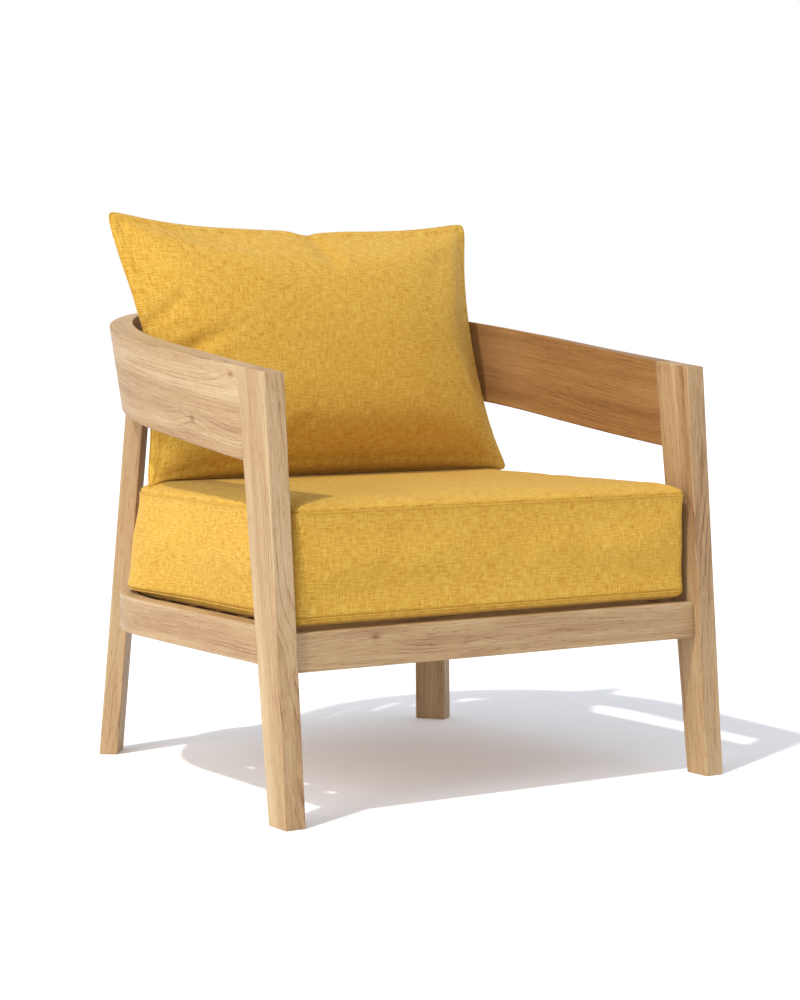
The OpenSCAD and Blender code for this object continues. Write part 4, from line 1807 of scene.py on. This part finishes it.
    def build(self, plan: Plan) -> None:
        """Build the cushion, its welts and its stitches.

        Args:
            plan: The shared plan.
        """
        low, high = box_of("seat_cushion_cover")
        shell = self.shell(low, high, plan.corner)
        quads = np.concatenate([shell.panel_quads, shell.side_quads])
        piece = mesh_object("seat_cushion", shell.points * MM, quads)
        self.weave(piece, shell)
        around = len(shell.rim)
        to_seam = np.minimum(shell.drop, self.top_seam - self.bottom_seam - shell.drop)
        far = np.concatenate(
            [shell.away, np.repeat(to_seam, around), np.zeros(around), shell.away[shell.inner]]
        )
        cloth_swell(piece, self.swell, far)
        moved = mesh_points(piece) / MM
        moved[shell.border, :2] -= shell.normal * self.groove
        moved[shell.low_rim, :2] -= shell.normal * self.groove
        moved[:, 2] = np.clip(moved[:, 2], low[2] + self.least_gap, high[2] + self.most_over)
        set_points(piece, moved * MM)
        subdivide(piece)
        shown = mesh_points(piece) / MM
        self.finish(piece, self.fabric, fill=0.9)
        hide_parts("seat_cushion_cover", "seat_cushion_foam")
        out_again = np.column_stack([shell.normal * self.welt_out, np.full(around, -self.welt)])
        for word, seam in (("top", shell.border), ("bottom", shell.low_rim)):
            line = dense_loop(shown[seam] + out_again, self.welt_step)
            self.finish(seam_tube(f"seat_welt_{word}", line, self.welt), self.fabric)
        # The stitches lie on the boxing's second level, in the groove.
        stitched = len(shell.flat) + around
        line = dense_loop(shown[stitched : stitched + around], self.stitch_pitch)
        self.finish(stitches("seat_stitches", line, self.stitch_length, self.thread_r), self.thread)


@dataclass(frozen=True)
class Fold:
    """A soft dent pressed into a cushion: a long smooth hollow with a low ridge beside it.

    Sizes are in millimetres and the heading is in radians. The face is -1 for the front panel, 1 for the
    rear one.
    """

    x: float
    z: float
    heading: float
    length: float
    width: float
    depth: float
    face: int = -1
    ridge: float = 0.45
    ridge_width: float = 2.2

    def press(self, own: Array) -> Array:
        """Depth of the dent.

        The product of a Gaussian along the fold and a Gaussian less a wider, weaker one across it.

        Args:
            own: Points in the cushion's own upright frame, in millimetres.

        Returns:
            One depth per point, none on the other panel.
        """
        cos, sin = math.cos(self.heading), math.sin(self.heading)
        x, z = own[:, 0] - self.x, own[:, 2] - self.z
        along = x * cos + z * sin
        across = z * cos - x * sin
        wide = self.ridge_width * self.width
        groove = np.exp(-(across / self.width) ** 2) - self.ridge * np.exp(-(across / wide) ** 2)
        on_face = own[:, 1] * self.face > -SEAM_MM
        return self.depth * np.exp(-(along / self.length) ** 2) * groove * on_face


@dataclass
class BackCushion(Cushion):
    """The loose back cushion: two panels sewn edge to edge round a soft filling.

    Its sides pull in between the corners, the corners stay as pointed ears, and the middle of its top edge
    has been pressed down a little. Each ear is given as its side, its end, and how far it goes out and up.
    """

    body: str = "back_cushion"
    width: float = 666.0
    height: float = 420.0
    half_t: float = 86.0
    ear_round: float = 8.5
    ears: tuple[tuple[int, int, float, float], ...] = (
        (-1, 1, 12.0, 15.0), (1, 1, 1.0, 8.0), (-1, -1, 5.0, -22.0), (1, -1, 11.0, -12.0))
    ear_power: int = 5
    blunt_power: int = 20
    flange: float = 11.0
    flange_groove: float = 3.0
    flange_width: float = 2.9
    rest_half: float = 295.0
    droop: float = 14.0
    least_gap: float = 0.2
    most_over: float = 10.0
    side_pull: float = 27.0
    left_waist: float = 2.8
    end_pull: float = 15.0
    end_power: float = 2.6
    foot_pull: float = -2.0
    pull_power: float = 1.5
    dip: float = 9.0
    dip_at: float = 0.05
    dip_width: float = 0.07
    dip_power: float = 1.2
    dip_depth: int = 6
    side_power: float = 2.3
    top_power: float = 1.8
    foot_power: float = 3.4
    fullness: float = 0.56
    columns: int = 72
    rows: int = 50
    lean: float = 15.7
    seam_r: float = 1.6
    seam_step: float = 4.0
    swell: Swell = Swell(pressure=4.0, limit_mm=14.0)
    folds: tuple[Fold, ...] = (
        Fold(x=-256.0, z=-14.0, heading=0.30, length=50.0, width=12.5, depth=13.0),
        Fold(x=-292.0, z=44.0, heading=0.75, length=38.0, width=12.0, depth=7.0),
        Fold(x=6.0, z=172.0, heading=-1.2, length=36.0, width=15.0, depth=5.0),
        Fold(x=226.0, z=120.0, heading=0.9, length=60.0, width=17.0, depth=3.5),
        Fold(x=262.0, z=-60.0, heading=-1.15, length=70.0, width=15.0, depth=3.5),
        Fold(x=-120.0, z=150.0, heading=-0.5, length=60.0, width=20.0, depth=3.0),
        Fold(x=40.0, z=120.0, heading=1.3, length=70.0, width=20.0, depth=4.0, face=1),
    )

    def shell(self, u: Array, v: Array, face: int) -> Array:
        """One panel of the cushion in its own upright frame.

        The outline is a rectangle whose sides and ends are drawn in by their pull, times one less a power
        of the other share. The dip is a narrow hill taken off the top edge. The ears and their blunt tips
        are high powers of both shares. The thickness is the product of two profiles, each one less a power
        of its share, to the power of the fullness.

        Args:
            u: Shares across, from -1 to 1.
            v: Shares upwards, from -1 to 1.
            face: -1 for the front panel, 1 for the rear one.

        Returns:
            The points.
        """
        waist = (1 - v**2) ** np.where((u < 0) & (v > 0), self.left_waist, 1.0)
        x = u * (self.width / 2 - self.side_pull * waist * np.abs(u) ** self.pull_power)
        pull = np.where(v > 0, self.end_pull, self.foot_pull)
        z = v * (self.height / 2 - pull * (1 - np.abs(u) ** self.end_power) * np.abs(v) ** self.pull_power)
        beside = np.abs(u - self.dip_at) / self.dip_width
        z = z - self.dip * (np.exp(-(beside**self.dip_power)) * np.clip(v, 0, 1) ** self.dip_depth)
        ear = (np.abs(u) * np.abs(v)) ** self.ear_power
        for side, end, out, up in self.ears:
            here = ear * (u * side > 0) * (v * end > 0)
            x = x + side * out * here
            z = z + up * here
        blunt = self.ear_round * (np.abs(u) * np.abs(v)) ** self.blunt_power
        x = x - np.sign(u) * blunt
        z = z - np.sign(v) * blunt
        sunk = np.where(v > 0, np.abs(v) ** self.top_power, np.abs(v) ** self.foot_power)
        swell = ((1 - np.abs(u) ** self.side_power) * (1 - sunk)).clip(0, None) ** self.fullness
        return np.stack([x, face * self.half_t * swell, z], -1)

    def leaned(self, points: Array) -> Array:
        """Turn points back by the lean, about the axis across the cushion.

        Args:
            points: Points in the cushion's own upright frame.

        Returns:
            The turned points.
        """
        cos, sin = math.cos(math.radians(self.lean)), math.sin(math.radians(self.lean))
        x, y, z = points.T
        return np.column_stack([x, y * cos + z * sin, z * cos - y * sin])

    def soften(self, piece: bpy.types.Object, own: Array, far: Array, low: Array, high: Array) -> None:
        """Press the topstitched crease and the folds in, and lay the cushion on the seat.

        The crease is a Gaussian of the distance to the edge. The two lower ears hang past the seat cushion's
        rounded shoulder by the square of how far they are past it, and the rest lies on its top.

        Args:
            piece: The cushion, blown up.
            own: Its points before that, in its own frame.
            far: Distance of each point to the edge.
            low: Lowest corner of the cushion's box.
            high: Highest corner.
        """
        moved = mesh_points(piece) / MM
        outward = np.empty(len(moved) * 3, np.float32)
        piece.data.vertices.foreach_get("normal", outward)
        outward = outward.reshape(-1, 3)
        crease = self.flange_groove * np.exp(-((far - self.flange) / self.flange_width) ** 2)
        moved -= outward * crease[:, None]
        for fold in self.folds:
            moved -= outward * fold.press(own)[:, None]
        past = np.clip((np.abs(moved[:, 0]) - self.rest_half) / (self.width / 2 - self.rest_half), 0, 1)
        floor = low[2] + self.least_gap - self.droop * past**2
        moved[:, 2] = np.clip(moved[:, 2], floor, high[2] + self.most_over)
        set_points(piece, moved * MM)

    def build(self) -> None:
        """Build the shell and its edge seam."""
        low, high = box_of("back_cushion_cover")
        u = graded(self.columns, CREASED_HEM) * 2 - 1
        v = graded(self.rows, CREASED_HEM * self.width / self.height) * 2 - 1
        uu, vv = np.meshgrid(u, v)
        rows, columns = uu.shape
        border = rim_of(rows, columns)
        size = uu.size
        inner = np.setdiff1d(np.arange(size), border)
        front = self.shell(uu, vv, -1).reshape(-1, 3)
        back = self.shell(uu, vv, 1).reshape(-1, 3)
        own = np.concatenate([front, back[inner]])
        back_index = np.arange(size)
        back_index[inner] = size + np.arange(len(inner))
        front_quads = grid_quads(rows, columns, False)
        quads = np.concatenate([front_quads, back_index[front_quads][:, ::-1]])
        piece = mesh_object("back_cushion", (self.leaned(own) + (low + high) / 2) * MM, quads)
        flat = np.column_stack([uu.ravel() * self.width / 2, vv.ravel() * self.height / 2])
        uv = np.concatenate([flat, flat[inner]])[loops_of(piece)].reshape(-1, 4, 2)
        uv[len(front_quads):] += BACK_REAR_CUT
        place_weave(piece, uv.reshape(-1, 2) * MM)
        to_side, to_end = (1 - np.abs(uu)) * self.width / 2, (1 - np.abs(vv)) * self.height / 2
        panel_far = np.minimum(to_side, to_end).ravel()
        far = np.concatenate([panel_far, panel_far[inner]])
        cloth_swell(piece, self.swell, far)
        self.soften(piece, own, far, low, high)
        subdivide(piece)
        shown = mesh_points(piece) / MM
        self.finish(piece, self.fabric, fill=0.7)
        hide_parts("back_cushion_cover", "back_cushion_filling")
        edge_line = dense_loop(shown[border], self.seam_step)
        self.finish(seam_tube("back_edge_seam", edge_line, self.seam_r), self.fabric)


# ---------------------------------------------------------------------------
# Studio
# ---------------------------------------------------------------------------


@dataclass
class Studio:
    """Seamless pale paper, a key light from the upper left, soft fill from all round, and the camera.

    Places are in millimetres, angles in radians unless a name says otherwise.
    """

    eye: tuple[float, float, float] = (-2015.2, -3203.7, 686.9)
    yaw: float = 0.574
    pitch: float = 0.073
    lens: float = 87.4
    sensor: float = 36.0
    far_m: float = 100.0
    floor_half_m: float = 30.0
    sun_from: tuple[float, float, float] = (-0.57, -0.19, 1.0)
    sun_strength: float = 1.95
    sun_colour: str = "FFFDF8"
    sun_soft_degrees: float = 2.0
    sky: str = "EEF3FB"
    paper_white: str = "FFFFFF"
    sky_strength: float = 0.80
    softbox_at: tuple[float, float, float] = (-4200.0, -1200.0, 2300.0)
    softbox_m: float = 2.6
    softbox_power: float = 95.0

    def floor(self) -> None:
        """Lay the paper as one large square."""
        half = self.floor_half_m
        corners = [(-half, -half, 0), (half, -half, 0), (half, half, 0), (-half, half, 0)]
        mesh = bpy.data.meshes.new("paper_floor")
        mesh.from_pydata(corners, [], [(0, 1, 2, 3)])
        paper = bpy.data.objects.new("paper_floor", mesh)
        bpy.context.scene.collection.objects.link(paper)
        dress(paper, PaperSweep().make())

    def sky_fill(self) -> None:
        """Light the room evenly from all round, with plain white paper behind it where the camera looks."""
        world = bpy.data.worlds.new("soft fill")
        bpy.context.scene.world = world
        w = Tree(world)
        seen = w.add("LightPath").outputs["Is Camera Ray"]
        colours = {"Fac": seen, "Color1": linear(self.sky), "Color2": linear(self.paper_white)}
        tint = w.add("MixRGB", inputs=colours)
        level = w.add("MapRange", inputs={"Value": seen, "To Min": self.sky_strength})
        background = w.add(
            "Background", inputs={"Color": tint.outputs["Color"], "Strength": level.outputs["Result"]}
        )
        w.add("OutputWorld", inputs={"Surface": background.outputs["Background"]})

    def lamp(self, light: bpy.types.Light, towards: tuple[float, float, float]) -> bpy.types.Object:
        """Hang a light that shines from a direction on to the chair.

        Args:
            light: The light.
            towards: Direction from the chair to the light.

        Returns:
            The lamp, at the origin.
        """
        lamp = bpy.data.objects.new(light.name, light)
        lamp.rotation_euler = Vector(towards).to_track_quat("Z", "Y").to_euler()
        bpy.context.scene.collection.objects.link(lamp)
        return lamp

    def lights(self) -> None:
        """Hang the key light and the softbox."""
        sun = bpy.data.lights.new("key light", "SUN")
        sun.energy = self.sun_strength
        sun.angle = math.radians(self.sun_soft_degrees)
        sun.color = linear(self.sun_colour)[:3]
        self.lamp(sun, self.sun_from)
        softbox = bpy.data.lights.new("softbox", "AREA")
        softbox.size = self.softbox_m
        softbox.energy = self.softbox_power
        self.lamp(softbox, self.softbox_at).location = [c * MM for c in self.softbox_at]

    def camera(self) -> None:
        """Set up the camera and plain colours."""
        lens = bpy.data.cameras.new("camera")
        lens.lens = self.lens
        lens.sensor_width = self.sensor
        lens.clip_end = self.far_m
        view = bpy.data.objects.new("camera", lens)
        view.location = [c * MM for c in self.eye]
        view.rotation_euler = Euler((math.pi / 2 - self.pitch, 0, -self.yaw))
        scene = bpy.context.scene
        scene.collection.objects.link(view)
        scene.camera = view
        scene.view_settings.view_transform = "Standard"

    def build(self) -> None:
        """Build the floor, the lights and the camera."""
        self.floor()
        self.sky_fill()
        self.lights()
        self.camera()


# ---------------------------------------------------------------------------
# The chair
# ---------------------------------------------------------------------------


def main() -> None:
    """Build the chair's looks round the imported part, from the frame to the cushions."""
    logging.basicConfig(level=logging.INFO, format="%(name)s: %(message)s")
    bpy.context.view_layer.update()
    leg_low, leg_high = box_of("front_leg_right")
    # The part is centred, so its rear is as far back as its front is forward.
    plan = Plan(half_w=float(leg_high[0]), front_y=float(leg_low[1]), rear_y=-float(leg_low[1]))
    log.info("front %.1f mm, rear %.1f mm, half width %.1f mm", plan.front_y, plan.rear_y, plan.half_w)

    teak = OiledTeak().make()
    beech = OiledTeak(name="planed beech", early="D9B98F", middle="CBA578", late="B58C60",
                      streak="9E7549", roughness=0.6, source=GrainSource.ALONG_Y).make()
    zinc = ZincSteel().make()
    acrylic = WovenAcrylic().make()
    thread = WovenAcrylic(name="sewing thread", light="DDB656", middle="CFA13E", deep="BB892A").make()
    # Two knots lie in the left arm and one in the front rail, by their boards' own cuts.
    knotty = OiledTeak(name="oiled teak with knots", knots=((83.0, 33.0, 22.0), (-36.0, -44.0, 22.0),
                                                        (934.0, -17.0, 60.0))).make()
    # A darker teak for the whole right arm, in part painted shade: it darkens the arm whose inner face lies
    # in shade.
    darker = OiledTeak(name="oiled teak heartwood", early="A07746", middle="8E6436", late="754B25",
                      streak="4D2A14").make()

    band = ArmBand(plan, teak, darker=darker, knotty=knotty)
    band.build()
    FrontLegs(plan, teak).build(band)
    RearLegs(plan, teak).build()
    SeatFrame(plan, teak, knotty=knotty).build()
    SeatDeck(plan, teak).build(beech)
    BackSlats(plan, teak).build(band)
    for node, piece in cad_nodes().items():
        if node.endswith("_screws"):
            dress(piece, zinc)
        elif node.endswith("_dowels"):
            dress(piece, beech)
    SeatCushion(acrylic, thread).build(plan)
    BackCushion(acrylic, thread).build()
    Studio().build()


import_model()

if __name__ == "__main__":
    main()
